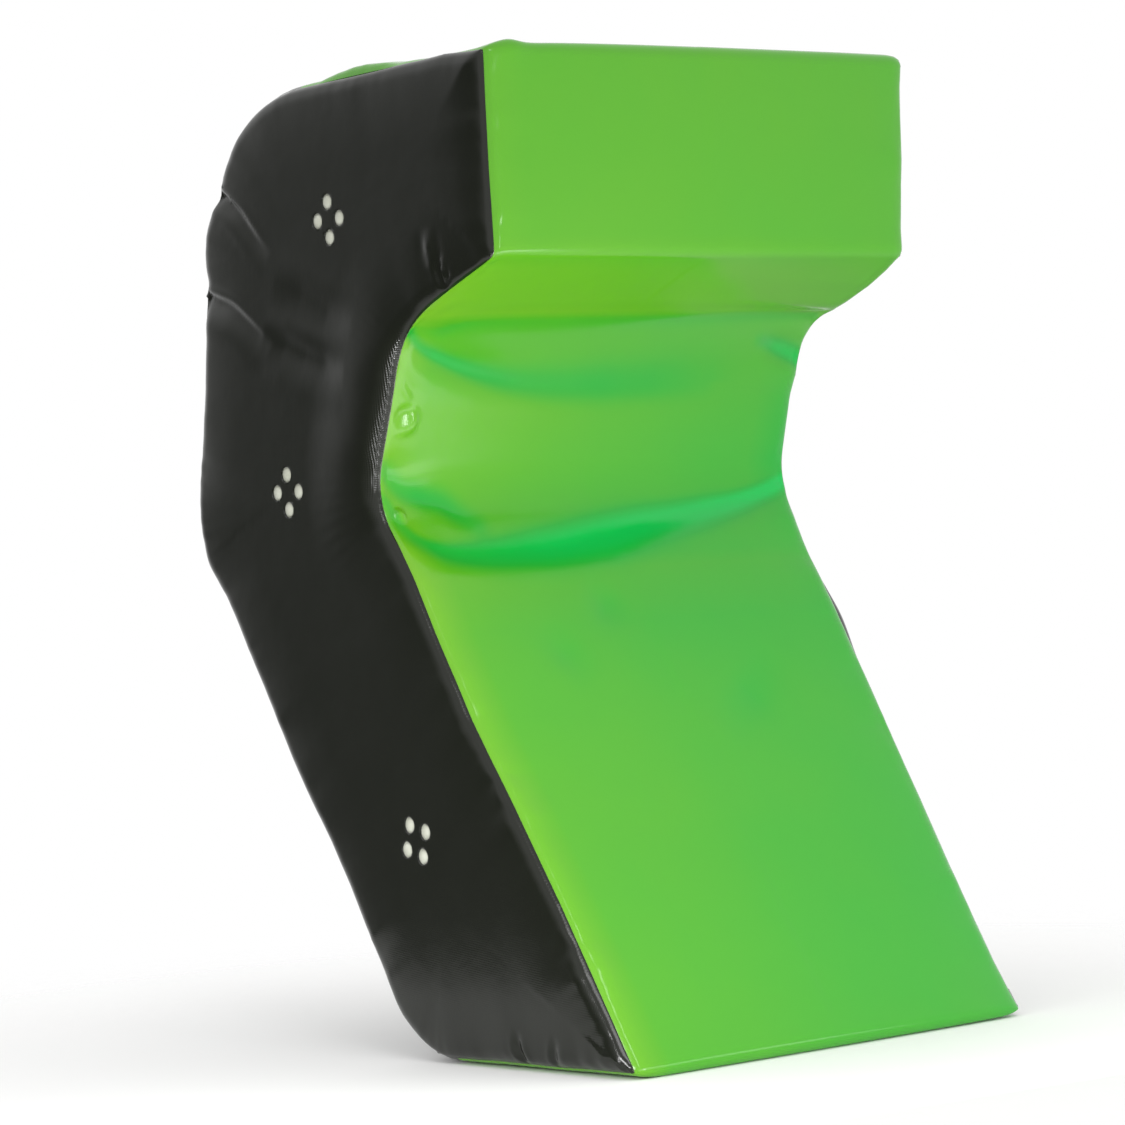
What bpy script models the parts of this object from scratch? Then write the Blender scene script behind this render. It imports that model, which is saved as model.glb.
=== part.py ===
"""Tackle wedge: a two-block foam core in a sewn PVC cover, with a centre-back zip and two grab handles.

Metres, +Z up. X runs across the pad, -Y is the face that is struck and +Y the back with the handles. The side
view is one outline of eight rounded corners; every sheet, block and fitting takes its place from it.
"""

import math
from collections import namedtuple
from functools import lru_cache

import bmesh
import bpy
from mathutils import Matrix, Vector

# Side view, measured along Y from the head's face and along Z from the foot

FACE_TOP_HEIGHT = 0.801
TOP_FALL = 0.007
FACE_DROP = 0.161
FACE_SETBACK = 0.009
SHELF_DEPTH = 0.119
SHELF_FALL = 0.046
NOTCH_WALL_DEPTH = 0.052
NOTCH_WALL_FALL = 0.139
TOE_REACH = 0.2754
FOOT_LENGTH = 0.269
LEG_BACK_RUN = 0.2504
BEND_HEIGHT = 0.427
BACK_SET_IN = 0.054

TOP_EDGE_RADIUS = 0.004
FACE_LOWER_RADIUS = 0.005
NOTCH_RADIUS = 0.100
WAIST_RADIUS = 0.065
TOE_RADIUS = 0.004
HEEL_RADIUS = 0.090
BEND_RADIUS = 0.140
TOP_BACK_RADIUS = 0.152
SMALLEST_RADIUS = 0.002
WELD = 0.00001
SHARP_ANGLE = math.radians(40)

# Widths, seam to seam

HEAD_WIDTH = 0.450
FOOT_WIDTH = 0.422

# Cover: sheet, and how far the foam pushes each stretch out at the middle of the pad

SHEET = 0.0010
GAP = 0.0003
FACE_CROWN = 0.009
NOTCH_CROWN = 0.004
LEG_FRONT_CROWN = 0.009
BACK_CROWN = 0.006
TOP_CROWN = 0.0055
SIDE_CROWN = 0.010
SIDE_CROWN_REACH = 0.064

# Where the wrap's columns lie between the middle and a seam, and the rings of a side panel

COLUMN_SHARES = (0.0, 0.36, 0.66, 0.80, 0.89, 0.95, 0.985, 1.0)
RING_SHARES = (0.0, 0.04, 0.11, 0.25, 0.53, 1.0)
PLATEAU_SHARE = 0.60
DOME_SHARE = 0.25

# Foam: its own edges are eased, so that it stays clear of the drawn-in seams

FOAM_EASE = 0.0030

# Vent holes: four on the corners of a diamond, at three places along the side

VENT_RADIUS = 0.0065
VENT_SPREAD = 0.0145
VENT_SIDES = 12
HEAD_VENT_BACK = 0.204
HEAD_VENT_HEIGHT = 0.685
WAIST_VENT_BACK = 0.286
WAIST_VENT_HEIGHT = 0.467
LEG_VENT_BACK = 0.147
LEG_VENT_HEIGHT = 0.180
CUT_OVERRUN = 0.030

# Zip: from low on the leg, over the bend, to high on the back

ZIP_SLOT = 0.014
ZIP_SLOT_CORNER = 0.001
ZIP_FOOT_CLEARANCE = 0.040
ZIP_TOP_CLEARANCE = 0.012
TAPE_WIDTH = 0.014
TAPE_THICKNESS = 0.0008
TOOTH_PITCH = 0.0050
TOOTH_NECK = 0.0014
TOOTH_FLARE = 0.0003
TOOTH_REACH = 0.0040
BEAD_WIDTH = 0.0012
TOOTH_OVERLAP = 0.0012
TOOTH_THICKNESS = 0.0026
STOP_LENGTH = 0.0040
STOP_WIDTH = 0.0120
STOP_HEIGHT = 0.0015
STOP_BEVEL = 0.0004
END_TAPE = 0.0100

# Slider: a wing over the teeth with two flanges, and an arched bridge that holds the pull

SLIDER_LENGTH = 0.0190
SLIDER_WIDTH = 0.0130
SLIDER_WALL = 0.0014
SLIDER_WING = 0.0016
SLIDER_NOSE_SHARE = 0.86
BRIDGE_WIRE = 0.0018
BRIDGE_SPAN = 0.0130
PIVOT_RISE = 0.0016
BRIDGE_ROOM = 0.0015
BRIDGE_STEPS = 8

# Pull: a flat tab with a window round the bridge

PULL_THICKNESS = 0.0014
PULL_BAR = 0.0016
PULL_EYE_WIDTH = 0.0080
PULL_WINDOW_WIDTH = 0.0046
PULL_WINDOW_LENGTH = 0.0100
PULL_TAB_WIDTH = 0.0120
PULL_LENGTH = 0.0420
PULL_NECK = 0.0140
PULL_CORNER = 0.0025

# Handles

HANDLE_OFFSET = 0.110
STRAP_WIDTH = 0.030
STRAP_THICKNESS = 0.0022
STRAP_END = 0.042
STRAP_RAMP = 0.034
HANDLE_STAND = 0.048
RAMP_STEPS = 8
GRIP_LENGTH = 0.108
GRIP_WIDTH = 0.038
GRIP_DEPTH = 0.018
GRIP_END_BEVEL = 0.0025
GRIP_CLEARANCE = 0.0004
END_FACING = 0.5
PATCH_WIDTH = 0.050
PATCH_LENGTH = 0.056
PATCH_THICKNESS = 0.0010

# Side view, corner by corner

Corner = namedtuple("Corner", "y z radius steps")

waist_back = FACE_SETBACK + SHELF_DEPTH + NOTCH_WALL_DEPTH
waist_height = FACE_TOP_HEIGHT - FACE_DROP - SHELF_FALL - NOTCH_WALL_FALL
toe = waist_back - TOE_REACH
heel = toe + FOOT_LENGTH
bend = heel + LEG_BACK_RUN

# Each corner starts a run, in this order: face, shelf, notch wall, leg front, foot, leg back, back and top

CORNERS = (
    Corner(0.0, FACE_TOP_HEIGHT, TOP_EDGE_RADIUS, 2),
    Corner(FACE_SETBACK, FACE_TOP_HEIGHT - FACE_DROP, FACE_LOWER_RADIUS, 2),
    Corner(FACE_SETBACK + SHELF_DEPTH, FACE_TOP_HEIGHT - FACE_DROP - SHELF_FALL, NOTCH_RADIUS, 4),
    Corner(waist_back, waist_height, WAIST_RADIUS, 4),
    Corner(toe, 0.0, TOE_RADIUS, 3),
    Corner(heel, 0.0, HEEL_RADIUS, 5),
    Corner(bend, BEND_HEIGHT, BEND_RADIUS, 5),
    Corner(bend - BACK_SET_IN, FACE_TOP_HEIGHT - TOP_FALL, TOP_BACK_RADIUS, 7),
)
CROWNS = (FACE_CROWN, NOTCH_CROWN, NOTCH_CROWN, LEG_FRONT_CROWN, 0.0, BACK_CROWN, BACK_CROWN, TOP_CROWN)

# First and last point of each corner's arc, in the outline's list

arc_starts = [sum(corner.steps + 1 for corner in CORNERS[:i]) for i in range(len(CORNERS))]
arc_ends = [start + corner.steps for start, corner in zip(arc_starts, CORNERS)]
HEEL_CORNER, BEND_CORNER, TOP_BACK_CORNER = 5, 6, 7


def half_width(height):
    """Half the seam-to-seam width, which tapers from the head to the foot."""
    return (FOOT_WIDTH + (HEAD_WIDTH - FOOT_WIDTH) * height / FACE_TOP_HEIGHT) / 2


def fillet(meet, into, out_of, radius, steps):
    """Points of an arc that rounds the corner where two runs meet."""
    turn = math.atan2(into.x * out_of.y - into.y * out_of.x, into.dot(out_of))
    start = meet - into * radius * math.tan(abs(turn) / 2)
    centre = start + Vector((-into.y, into.x)) * math.copysign(radius, turn)
    spoke = start - centre
    return [centre + Matrix.Rotation(turn * step / steps, 2) @ spoke for step in range(steps + 1)]


def outline(moves):
    """The side view's closed outline as (y, z) points, with each edge moved out by its own amount."""
    runs, starts = [], []
    for i, corner in enumerate(CORNERS):
        after = CORNERS[(i + 1) % len(CORNERS)]
        run = Vector((after.y - corner.y, after.z - corner.z)).normalized()
        runs.append(run)
        starts.append(Vector((corner.y, corner.z)) + Vector((run.y, -run.x)) * moves[i])
    points = []
    for i, corner in enumerate(CORNERS):
        into, out_of = runs[i - 1], runs[i]
        turn = into.x * out_of.y - into.y * out_of.x
        apart = starts[i] - starts[i - 1]
        along = (apart.x * out_of.y - apart.y * out_of.x) / turn
        meet = starts[i - 1] + into * along
        moved = (moves[i - 1] + moves[i]) / 2
        radius = corner.radius + (moved if turn > 0 else -moved)
        points += fillet(meet, into, out_of, max(radius, SMALLEST_RADIUS), corner.steps)
    return points


def crown_share(across):
    """How much of its crown the wrap has at a share of the way from the middle to a seam."""
    past = max(0, across - PLATEAU_SHARE) / (1 - PLATEAU_SHARE)
    edge = math.sqrt(max(0, 1 - past * past))
    return (1 - DOME_SHARE) * edge + DOME_SHARE * (1 - across * across)


def crown_between(across):
    """The same, along the straight facets between two columns."""
    for low, high in zip(COLUMN_SHARES, COLUMN_SHARES[1:]):
        if across <= high:
            share = (across - low) / (high - low)
            return crown_share(low) * (1 - share) + crown_share(high) * share
    return 0.0


@lru_cache(maxsize=None)
def section(crown, lift=0.0):
    """The outline where the wrap has this share of its crown, raised by a lift."""
    return outline([full * crown + lift for full in CROWNS])


# Scene


def clear_scene():
    for thing in list(bpy.data.objects):
        bpy.data.objects.remove(thing, do_unlink=True)


def new_collection(name):
    group = bpy.data.collections.new(name)
    bpy.context.scene.collection.children.link(group)
    return group


def new_material(name, colour, roughness, metallic=0.0):
    material = bpy.data.materials.new(name)
    material.use_nodes = True
    shader = material.node_tree.nodes["Principled BSDF"]
    shader.inputs["Base Color"].default_value = (*colour, 1.0)
    shader.inputs["Roughness"].default_value = roughness
    shader.inputs["Metallic"].default_value = metallic
    return material


clear_scene()
wedge_parts = new_collection("tackle_wedge")
cutters = new_collection("cutters")

MATERIALS = {
    "green_pvc": ((0.155, 0.515, 0.060), 0.30),
    "black_pvc": ((0.036, 0.038, 0.032), 0.35),
    "foam": ((0.55, 0.56, 0.49), 0.95),
    "zip_tape": ((0.020, 0.020, 0.020), 0.85),
    "zip_plastic": ((0.025, 0.025, 0.027), 0.40),
    "zip_metal": ((0.55, 0.55, 0.56), 0.35, 1.0),
    "webbing": ((0.022, 0.022, 0.024), 0.80),
    "grip_rubber": ((0.030, 0.030, 0.030), 0.60),
}


def piece(name, mesh, material, parent=None):
    """A named part of the wedge with its own material."""
    obj = bpy.data.objects.new(name, mesh)
    wedge_parts.objects.link(obj)
    obj.parent = parent if parent else origin
    look = new_material(name, *MATERIALS[material])
    obj.data.materials.clear()
    obj.data.materials.append(look)
    return obj


def finished(bm, name, outward=None):
    """The bmesh as a mesh whose faces point out; an open sheet's follow the given direction."""
    bmesh.ops.recalc_face_normals(bm, faces=bm.faces)
    if outward:
        facing = [face.normal.dot(outward(face.calc_center_median())) * face.calc_area() for face in bm.faces]
        if sum(facing) < 0:
            bmesh.ops.reverse_faces(bm, faces=bm.faces)
    mesh = bpy.data.meshes.new(name)
    bm.to_mesh(mesh)
    bm.free()
    mesh.shade_smooth()
    mesh.set_sharp_from_angle(angle=SHARP_ANGLE)
    return mesh


def sheet(name, rows, columns, place, outward, keep=None):
    """An open sheet on a grid; `place` puts each point, and only the cells that `keep` allows stay."""
    bm = bmesh.new()
    bmesh.ops.create_grid(bm, x_segments=columns - 1, y_segments=rows - 1, size=1)
    cells = {}
    for vert in bm.verts:
        cells[vert] = (round((vert.co.y + 1) / 2 * (rows - 1)), round((vert.co.x + 1) / 2 * (columns - 1)))
    if keep:
        spare = [face for face in bm.faces if not keep(*min(cells[vert] for vert in face.verts))]
        bmesh.ops.delete(bm, geom=spare, context="FACES")
    for vert in bm.verts:
        vert.co = place(*cells[vert])
    return finished(bm, name, outward)


def thicken(obj, thickness, outwards=False):
    """Gives a sheet its wall, inwards from its face or outwards."""
    wall = obj.modifiers.new("wall", "SOLIDIFY")
    wall.thickness = thickness
    wall.offset = 1 if outwards else -1
    wall.use_even_offset = True


def loft(rings, name, close_first, close_last, outward=None):
    """A skin over rings that have the same number of points."""
    bm = bmesh.new()
    loops = [[bm.verts.new(point) for point in ring] for ring in rings]
    for ring, following in zip(loops, loops[1:]):
        for i in range(len(ring)):
            bm.faces.new((ring[i - 1], ring[i], following[i], following[i - 1]))
    if close_first:
        bm.faces.new(loops[0])
    if close_last:
        bm.faces.new(loops[-1])
    return finished(bm, name, outward)


origin = bpy.data.objects.new("wedge_origin", None)
wedge_parts.objects.link(origin)


def cutter_object(name, mesh, parent):
    """A body that is only there for a Boolean."""
    cutter = bpy.data.objects.new(name, mesh)
    cutters.objects.link(cutter)
    cutter.parent = parent
    cutter.hide_render = True
    cutter.display_type = "WIRE"
    return cutter


# Cover: the green wrap runs over the top, down the front and under the foot; the black back meets it at the
# heel and at the top's rounded corner

ACROSS_SHARES = tuple(-share for share in reversed(COLUMN_SHARES[1:])) + COLUMN_SHARES


def run_between(points, first, last, trim):
    """The outline's points from one index round to another, with both ends drawn in by a trim."""
    count = (last - first) % len(points)
    run = [points[(first + i) % len(points)].copy() for i in range(count + 1)]
    run[0] += (run[1] - run[0]).normalized() * trim
    run[-1] += (run[-2] - run[-1]).normalized() * trim
    return run


def wrap_sheet(name, shares, first, last, trim, outward):
    """A stretch of the cover's wrap between two corners of the outline."""
    runs = [run_between(section(crown_between(abs(share))), first, last, trim) for share in shares]

    def place(row, column):
        y, z = runs[column][row]
        return Vector((shares[column] * half_width(z), y, z))

    return sheet(name, len(runs[0]), len(shares), place, outward)


def away_from_core(place):
    """Outward on the wrap: away from a line across the pad through its waist and bend."""
    middle_y = (waist_back + bend) / 2
    middle_z = (waist_height + BEND_HEIGHT) / 2
    if place.z < middle_z:
        middle_y -= (middle_z - place.z) * (bend - heel) / BEND_HEIGHT
        middle_z = place.z
    return Vector((0.0, place.y - middle_y, place.z - middle_z))


heel_seam, top_seam = arc_starts[HEEL_CORNER], arc_ends[TOP_BACK_CORNER]


def make_strike_cover():
    mesh = wrap_sheet("strike_cover", ACROSS_SHARES, top_seam, heel_seam, GAP, away_from_core)
    thicken(piece("strike_cover", mesh, "green_pvc"), SHEET)


def side_crown(share):
    """How far a side panel stands out, at a share of the way from its seam to its flat middle."""
    return SIDE_CROWN * math.sqrt(1 - (1 - share) ** 2)


def side_rings(side, inset, lower):
    """Rings of a side's crown, from the seam to the flat middle, drawn in by an inset and lowered."""
    rings = []
    for share in RING_SHARES:
        points = outline([-inset - share * SIDE_CROWN_REACH] * len(CORNERS))
        stand = side_crown(share) - lower
        rings.append([Vector((side * (half_width(z) + stand), y, z)) for y, z in points])
    return rings


def vent_cutter(name, side):
    """Twelve drills through a side panel, four on each diamond."""
    lean = math.atan2(bend - heel, BEND_HEIGHT)
    clusters = (
        (HEAD_VENT_BACK, HEAD_VENT_HEIGHT, 0.0),
        (WAIST_VENT_BACK, WAIST_VENT_HEIGHT, 0.0),
        (LEG_VENT_BACK, LEG_VENT_HEIGHT, lean),
    )
    bm = bmesh.new()
    for y, z, turn in clusters:
        for quarter in range(4):
            angle = quarter * math.pi / 2 - turn
            place = Vector(
                (
                    side * half_width(z),
                    y + VENT_SPREAD * math.cos(angle),
                    z + VENT_SPREAD * math.sin(angle),
                )
            )
            bmesh.ops.create_cone(
                bm,
                cap_ends=True,
                segments=VENT_SIDES,
                radius1=VENT_RADIUS,
                radius2=VENT_RADIUS,
                depth=CUT_OVERRUN * 2,
                matrix=Matrix.Translation(place) @ Matrix.Rotation(math.pi / 2, 4, "Y"),
            )
    return cutter_object(name, finished(bm, name), origin)


def make_side_panel(name, side):
    rings = side_rings(side, SHEET + GAP, 0.0)
    mesh = loft(rings, name, False, True, lambda place: Vector((side, 0.0, 0.0)))
    panel = piece(name, mesh, "black_pvc")
    thicken(panel, SHEET)
    vents = panel.modifiers.new("vents", "BOOLEAN")
    vents.operation = "DIFFERENCE"
    vents.object = vent_cutter(name + "_vents", side)


# Foam core: one lofted body, parted along the mitre between the waist and the bend


def core_rings():
    """Rings across the core from its left side's middle to its right side's."""
    inner = SHEET + GAP
    narrow = FOOT_WIDTH / 2
    rings = list(reversed(side_rings(-1, inner + FOAM_EASE, inner)))
    for share in ACROSS_SHARES:
        across = (abs(share) * (narrow - inner - FOAM_EASE) + FOAM_EASE) / narrow
        points = section(crown_between(min(across, 1)), -inner)
        rings.append([Vector((share * (half_width(z) - inner - FOAM_EASE), y, z)) for y, z in points])
    return rings + side_rings(1, inner + FOAM_EASE, inner)


def make_foam_block(name, upper):
    mesh = loft(core_rings(), name, True, True)
    bm = bmesh.new()
    bm.from_mesh(mesh)
    bpy.data.meshes.remove(mesh)
    mitre = Vector((0.0, bend - waist_back, BEND_HEIGHT - waist_height)).normalized()
    up = Vector((0.0, -mitre.z, mitre.y))
    keep = up if upper else -up
    start = Vector((0.0, waist_back, waist_height)) + keep * GAP / 2
    everything = bm.verts[:] + bm.edges[:] + bm.faces[:]
    bmesh.ops.bisect_plane(bm, geom=everything, plane_co=start, plane_no=-keep, clear_outer=True)
    rim = [edge for edge in bm.edges if edge.is_boundary]
    bmesh.ops.holes_fill(bm, edges=rim, sides=len(rim))
    piece(name, finished(bm, name), "foam")


# The back, where the zip and the handles go: distances run up it from the heel's seam

back_line = run_between(section(1.0), heel_seam, top_seam, 0.0)
back_marks = [0.0]
for low, high in zip(back_line, back_line[1:]):
    back_marks.append(back_marks[-1] + (high - low).length)

leg_from = back_marks[arc_ends[HEEL_CORNER] - heel_seam]
leg_to = back_marks[arc_starts[BEND_CORNER] - heel_seam]
wall_from = back_marks[arc_ends[BEND_CORNER] - heel_seam]
wall_to = back_marks[arc_starts[TOP_BACK_CORNER] - heel_seam]


def facet_at(distance):
    """The back's facet at a distance up it, and the share of the way along that facet."""
    for i, (low, high) in enumerate(zip(back_marks, back_marks[1:])):
        if distance <= high:
            return i, (distance - low) / (high - low)
    return len(back_marks) - 2, 1.0


def back_point(x, distance, lift):
    """A point over the back: off the centre by x, up it by a distance, and raised off the cover by a lift."""
    facet, share = facet_at(distance)
    height = back_line[facet].lerp(back_line[facet + 1], share).y
    crown = crown_between(abs(x) / half_width(height))
    line = run_between(section(crown, lift), heel_seam, top_seam, 0.0)
    y, z = line[facet].lerp(line[facet + 1], share)
    return Vector((x, y, z))


def back_point_by_share(across, distance):
    """A point on the cover's back, off the centre by a share of the half width there."""
    facet, share = facet_at(distance)
    line = run_between(section(crown_between(abs(across))), heel_seam, top_seam, 0.0)
    y, z = line[facet].lerp(line[facet + 1], share)
    return Vector((across * half_width(z), y, z))


def back_axes(distance):
    """The directions up the back and out of it, at a distance up it."""
    facet = facet_at(distance)[0]
    run = (back_line[facet + 1] - back_line[facet]).normalized()
    return Vector((0.0, run.x, run.y)), Vector((0.0, run.y, -run.x))


def back_rows(start, end):
    """Distances for a sheet on the back, with a row on each fold between two facets."""
    return [start, *(mark for mark in back_marks if start < mark < end), end]


def outward_on_back(place):
    return Vector((0.0, 1.0, 0.0))


# Zip

zip_from = leg_from + ZIP_FOOT_CLEARANCE
zip_to = wall_to - ZIP_TOP_CLEARANCE
slot_from = zip_from + END_TAPE / 2
slot_to = zip_to - END_TAPE / 2
teeth_from = zip_from + END_TAPE
teeth_to = zip_to - END_TAPE
chain_under = GAP + TAPE_THICKNESS / 2 - TOOTH_THICKNESS / 2
chain_top = chain_under + TOOTH_THICKNESS
tape_top = GAP + TAPE_THICKNESS


def make_back_panel(name, side):
    """Half of the back; its inner edge leaves the zip's slot, and meets the other half above and below it."""
    slot = (slot_from, slot_from + ZIP_SLOT_CORNER, slot_to - ZIP_SLOT_CORNER, slot_to)
    rows = sorted([*back_marks, *slot])

    def place(row, column):
        distance = rows[row]
        if column == 0:
            open_here = slot[1] <= distance <= slot[2]
            return back_point(side * (ZIP_SLOT if open_here else GAP) / 2, distance, 0.0)
        return back_point_by_share(side * COLUMN_SHARES[column], distance)

    mesh = sheet(name, len(rows), len(COLUMN_SHARES), place, outward_on_back)
    thicken(piece(name, mesh, "black_pvc"), SHEET)


def make_zip_tape(name, side):
    rows = back_rows(zip_from, zip_to)
    edges = (TOOTH_REACH + GAP, TOOTH_REACH + GAP + TAPE_WIDTH)

    def place(row, column):
        return back_point(side * edges[column], rows[row], GAP)

    mesh = sheet(name, len(rows), len(edges), place, outward_on_back)
    thicken(piece(name, mesh, "zip_tape"), TAPE_THICKNESS, outwards=True)


def make_zip_teeth(name, side):
    """A row of moulded teeth on the tape's bead; their wide heads reach in between the other row's."""
    start = teeth_from + TOOTH_PITCH * (1 if side > 0 else 0.5)
    count = int((teeth_to - TOOTH_PITCH / 2 - start) / TOOTH_PITCH) + 1
    centres = [start + tooth * TOOTH_PITCH for tooth in range(count)]
    rows = [(teeth_from, 0.0, False)]
    for centre in centres:
        rows.append((centre - TOOTH_NECK / 2, -TOOTH_FLARE, True))
        rows.append((centre + TOOTH_NECK / 2, TOOTH_FLARE, False))
    rows.append((teeth_to, 0.0, False))
    for mark in back_marks:
        if teeth_from < mark < teeth_to:
            below = max(row for row in rows if row[0] <= mark)
            rows.append((mark, 0.0, below[2]))
    rows.sort()
    edges = (-TOOTH_OVERLAP, TOOTH_REACH - BEAD_WIDTH, TOOTH_REACH)

    def place(row, column):
        distance, flare = rows[row][:2]
        return back_point(side * edges[column], distance + (0 if column else flare), chain_under)

    def keep(row, column):
        return column == 1 or rows[row][2]

    mesh = sheet(name, len(rows), len(edges), place, outward_on_back, keep=keep)
    thicken(piece(name, mesh, "zip_plastic"), TOOTH_THICKNESS, outwards=True)


def make_zip_stop(name, distance):
    """A crimped block across the tapes at an end of the teeth."""
    up, out = back_axes(distance)
    turn = Matrix((Vector((1.0, 0.0, 0.0)), up, out)).transposed().to_4x4()
    centre = back_point(0.0, distance, tape_top + GAP + STOP_HEIGHT / 2)
    bm = bmesh.new()
    bmesh.ops.create_cube(bm, size=1)
    bmesh.ops.scale(bm, vec=(STOP_WIDTH, STOP_LENGTH, STOP_HEIGHT), verts=bm.verts)
    bmesh.ops.bevel(bm, geom=bm.edges[:], offset=STOP_BEVEL, segments=1, profile=0.5, affect="EDGES")
    bmesh.ops.transform(bm, matrix=Matrix.Translation(centre) @ turn, verts=bm.verts)
    piece(name, finished(bm, name), "zip_metal")


def cut_from_curve(name, loops, half_depth):
    """A flat outline with holes, given thickness along Z, as a mesh with welded caps."""
    curve = bpy.data.curves.new(name, "CURVE")
    curve.dimensions = "2D"
    curve.fill_mode = "BOTH"
    curve.extrude = half_depth
    for loop in loops:
        spline = curve.splines.new("POLY")
        spline.points.add(len(loop) - 1)
        for point, (x, y) in zip(spline.points, loop):
            point.co = (x, y, 0.0, 1.0)
        spline.use_cyclic_u = True
    return mesh_of(curve, name)


def mesh_of(curve, name):
    """A curve's body as a welded mesh."""
    holder = bpy.data.objects.new(name, curve)
    cutters.objects.link(holder)
    bpy.context.view_layer.update()
    evaluated = holder.evaluated_get(bpy.context.evaluated_depsgraph_get())
    mesh = bpy.data.meshes.new_from_object(evaluated)
    bpy.data.objects.remove(holder, do_unlink=True)
    bm = bmesh.new()
    bm.from_mesh(mesh)
    bpy.data.meshes.remove(mesh)
    bmesh.ops.remove_doubles(bm, verts=bm.verts, dist=WELD)
    return finished(bm, name)


def rounded(corners):
    """A closed outline from (x, y, radius) corners, each rounded in four steps."""
    points = []
    for i, (x, y, radius) in enumerate(corners):
        meet = Vector((x, y))
        before = Vector(corners[i - 1][:2])
        after = Vector(corners[(i + 1) % len(corners)][:2])
        if radius:
            points += fillet(meet, (meet - before).normalized(), (after - meet).normalized(), radius, 4)
        else:
            points.append(meet)
    return points


slider_rest = teeth_from + GAP + SLIDER_LENGTH / 2
slider_travel = leg_to - GAP - SLIDER_LENGTH / 2 - slider_rest
wing_under = chain_top + GAP
wing_top = wing_under + SLIDER_WING
pivot_lift = wing_top + PIVOT_RISE


def make_zip_slider():
    """The slider sits over the chain at the foot of the zip; its own Z runs up the leg, its Y out of it."""
    wide, inner = SLIDER_WIDTH / 2, SLIDER_WIDTH / 2 - SLIDER_WALL
    flange = tape_top + GAP
    profile = (
        (-wide, flange),
        (-inner, flange),
        (-inner, wing_under),
        (inner, wing_under),
        (inner, flange),
        (wide, flange),
        (wide, wing_top),
        (-wide, wing_top),
    )
    mesh = cut_from_curve("zip_slider", [[Vector(point) for point in profile]], SLIDER_LENGTH / 2)
    for vert in mesh.vertices:
        if vert.co.z < 0:
            vert.co.x *= SLIDER_NOSE_SHARE
    slider = piece("zip_slider", mesh, "zip_metal")
    slider.location = back_point(0.0, slider_rest, 0.0)
    up, out = back_axes(slider_rest)
    slider.rotation_euler.x = math.atan2(out.z, out.y)

    bridge = bpy.data.curves.new("slider_bridge", "CURVE")
    bridge.dimensions = "3D"
    bridge.bevel_depth = BRIDGE_WIRE / 2
    bridge.bevel_resolution = 1
    bridge.use_fill_caps = True
    spline = bridge.splines.new("POLY")
    spline.points.add(BRIDGE_STEPS)
    rise = pivot_lift + PULL_BAR / 2 + BRIDGE_ROOM + BRIDGE_WIRE / 2 - wing_under
    for step, point in enumerate(spline.points):
        angle = math.pi * step / BRIDGE_STEPS
        point.co = (
            0.0,
            wing_under + BRIDGE_WIRE / 4 + rise * math.sin(angle),
            -BRIDGE_SPAN / 2 * math.cos(angle),
            1.0,
        )
    joined = slider.modifiers.new("bridge", "BOOLEAN")
    joined.operation = "UNION"
    joined.object = cutter_object("slider_bridge", mesh_of(bridge, "slider_bridge"), slider)
    return slider


def make_zip_pull(slider):
    """The tab hangs straight down from its bar, which lies under the slider's bridge."""
    bar = PULL_BAR / 2
    eye, window, tab = PULL_EYE_WIDTH / 2, PULL_WINDOW_WIDTH / 2, PULL_TAB_WIDTH / 2
    rim = rounded(
        (
            (-eye, bar, bar),
            (-eye, -PULL_NECK, 0.0),
            (-tab, -PULL_NECK - PULL_CORNER, 0.0),
            (-tab, -PULL_LENGTH, PULL_CORNER),
            (tab, -PULL_LENGTH, PULL_CORNER),
            (tab, -PULL_NECK - PULL_CORNER, 0.0),
            (eye, -PULL_NECK, 0.0),
            (eye, bar, bar),
        )
    )
    opening = [
        Vector((-window, -bar)),
        Vector((-window, -bar - PULL_WINDOW_LENGTH)),
        Vector((window, -bar - PULL_WINDOW_LENGTH)),
        Vector((window, -bar)),
    ]
    mesh = cut_from_curve("zip_pull", [rim, opening], PULL_THICKNESS / 2)
    mesh.transform(Matrix.Rotation(math.pi / 2, 4, "X"))
    pull = piece("zip_pull", mesh, "zip_metal", slider)
    pull.location = (0.0, pivot_lift, 0.0)
    pull.rotation_euler.x = -slider.rotation_euler.x
    return pull


# Handles: a strap sewn down over a patch at each end, with a grip sleeve round its raised middle

handle_centre = (wall_from + wall_to) / 2
handle_half = GRIP_LENGTH / 2 + STRAP_RAMP + STRAP_END
patch_top = GAP + PATCH_THICKNESS
strap_lift = patch_top + GAP


def make_patch(name, side, upper):
    start = handle_centre + (1 if upper else -1) * (handle_half - STRAP_END / 2) - PATCH_LENGTH / 2
    rows = back_rows(start, start + PATCH_LENGTH)
    edges = (HANDLE_OFFSET - PATCH_WIDTH / 2, HANDLE_OFFSET + PATCH_WIDTH / 2)

    def place(row, column):
        return back_point(side * edges[column], rows[row], GAP)

    mesh = sheet(name, len(rows), len(edges), place, outward_on_back)
    thicken(piece(name, mesh, "webbing"), PATCH_THICKNESS, outwards=True)


def over_wall(x, distance, lift):
    """A point over the back's straight wall, square to it at the handles' middle."""
    up, out = back_axes(handle_centre)
    return back_point(x, handle_centre, 0.0) + up * (distance - handle_centre) + out * lift


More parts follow.
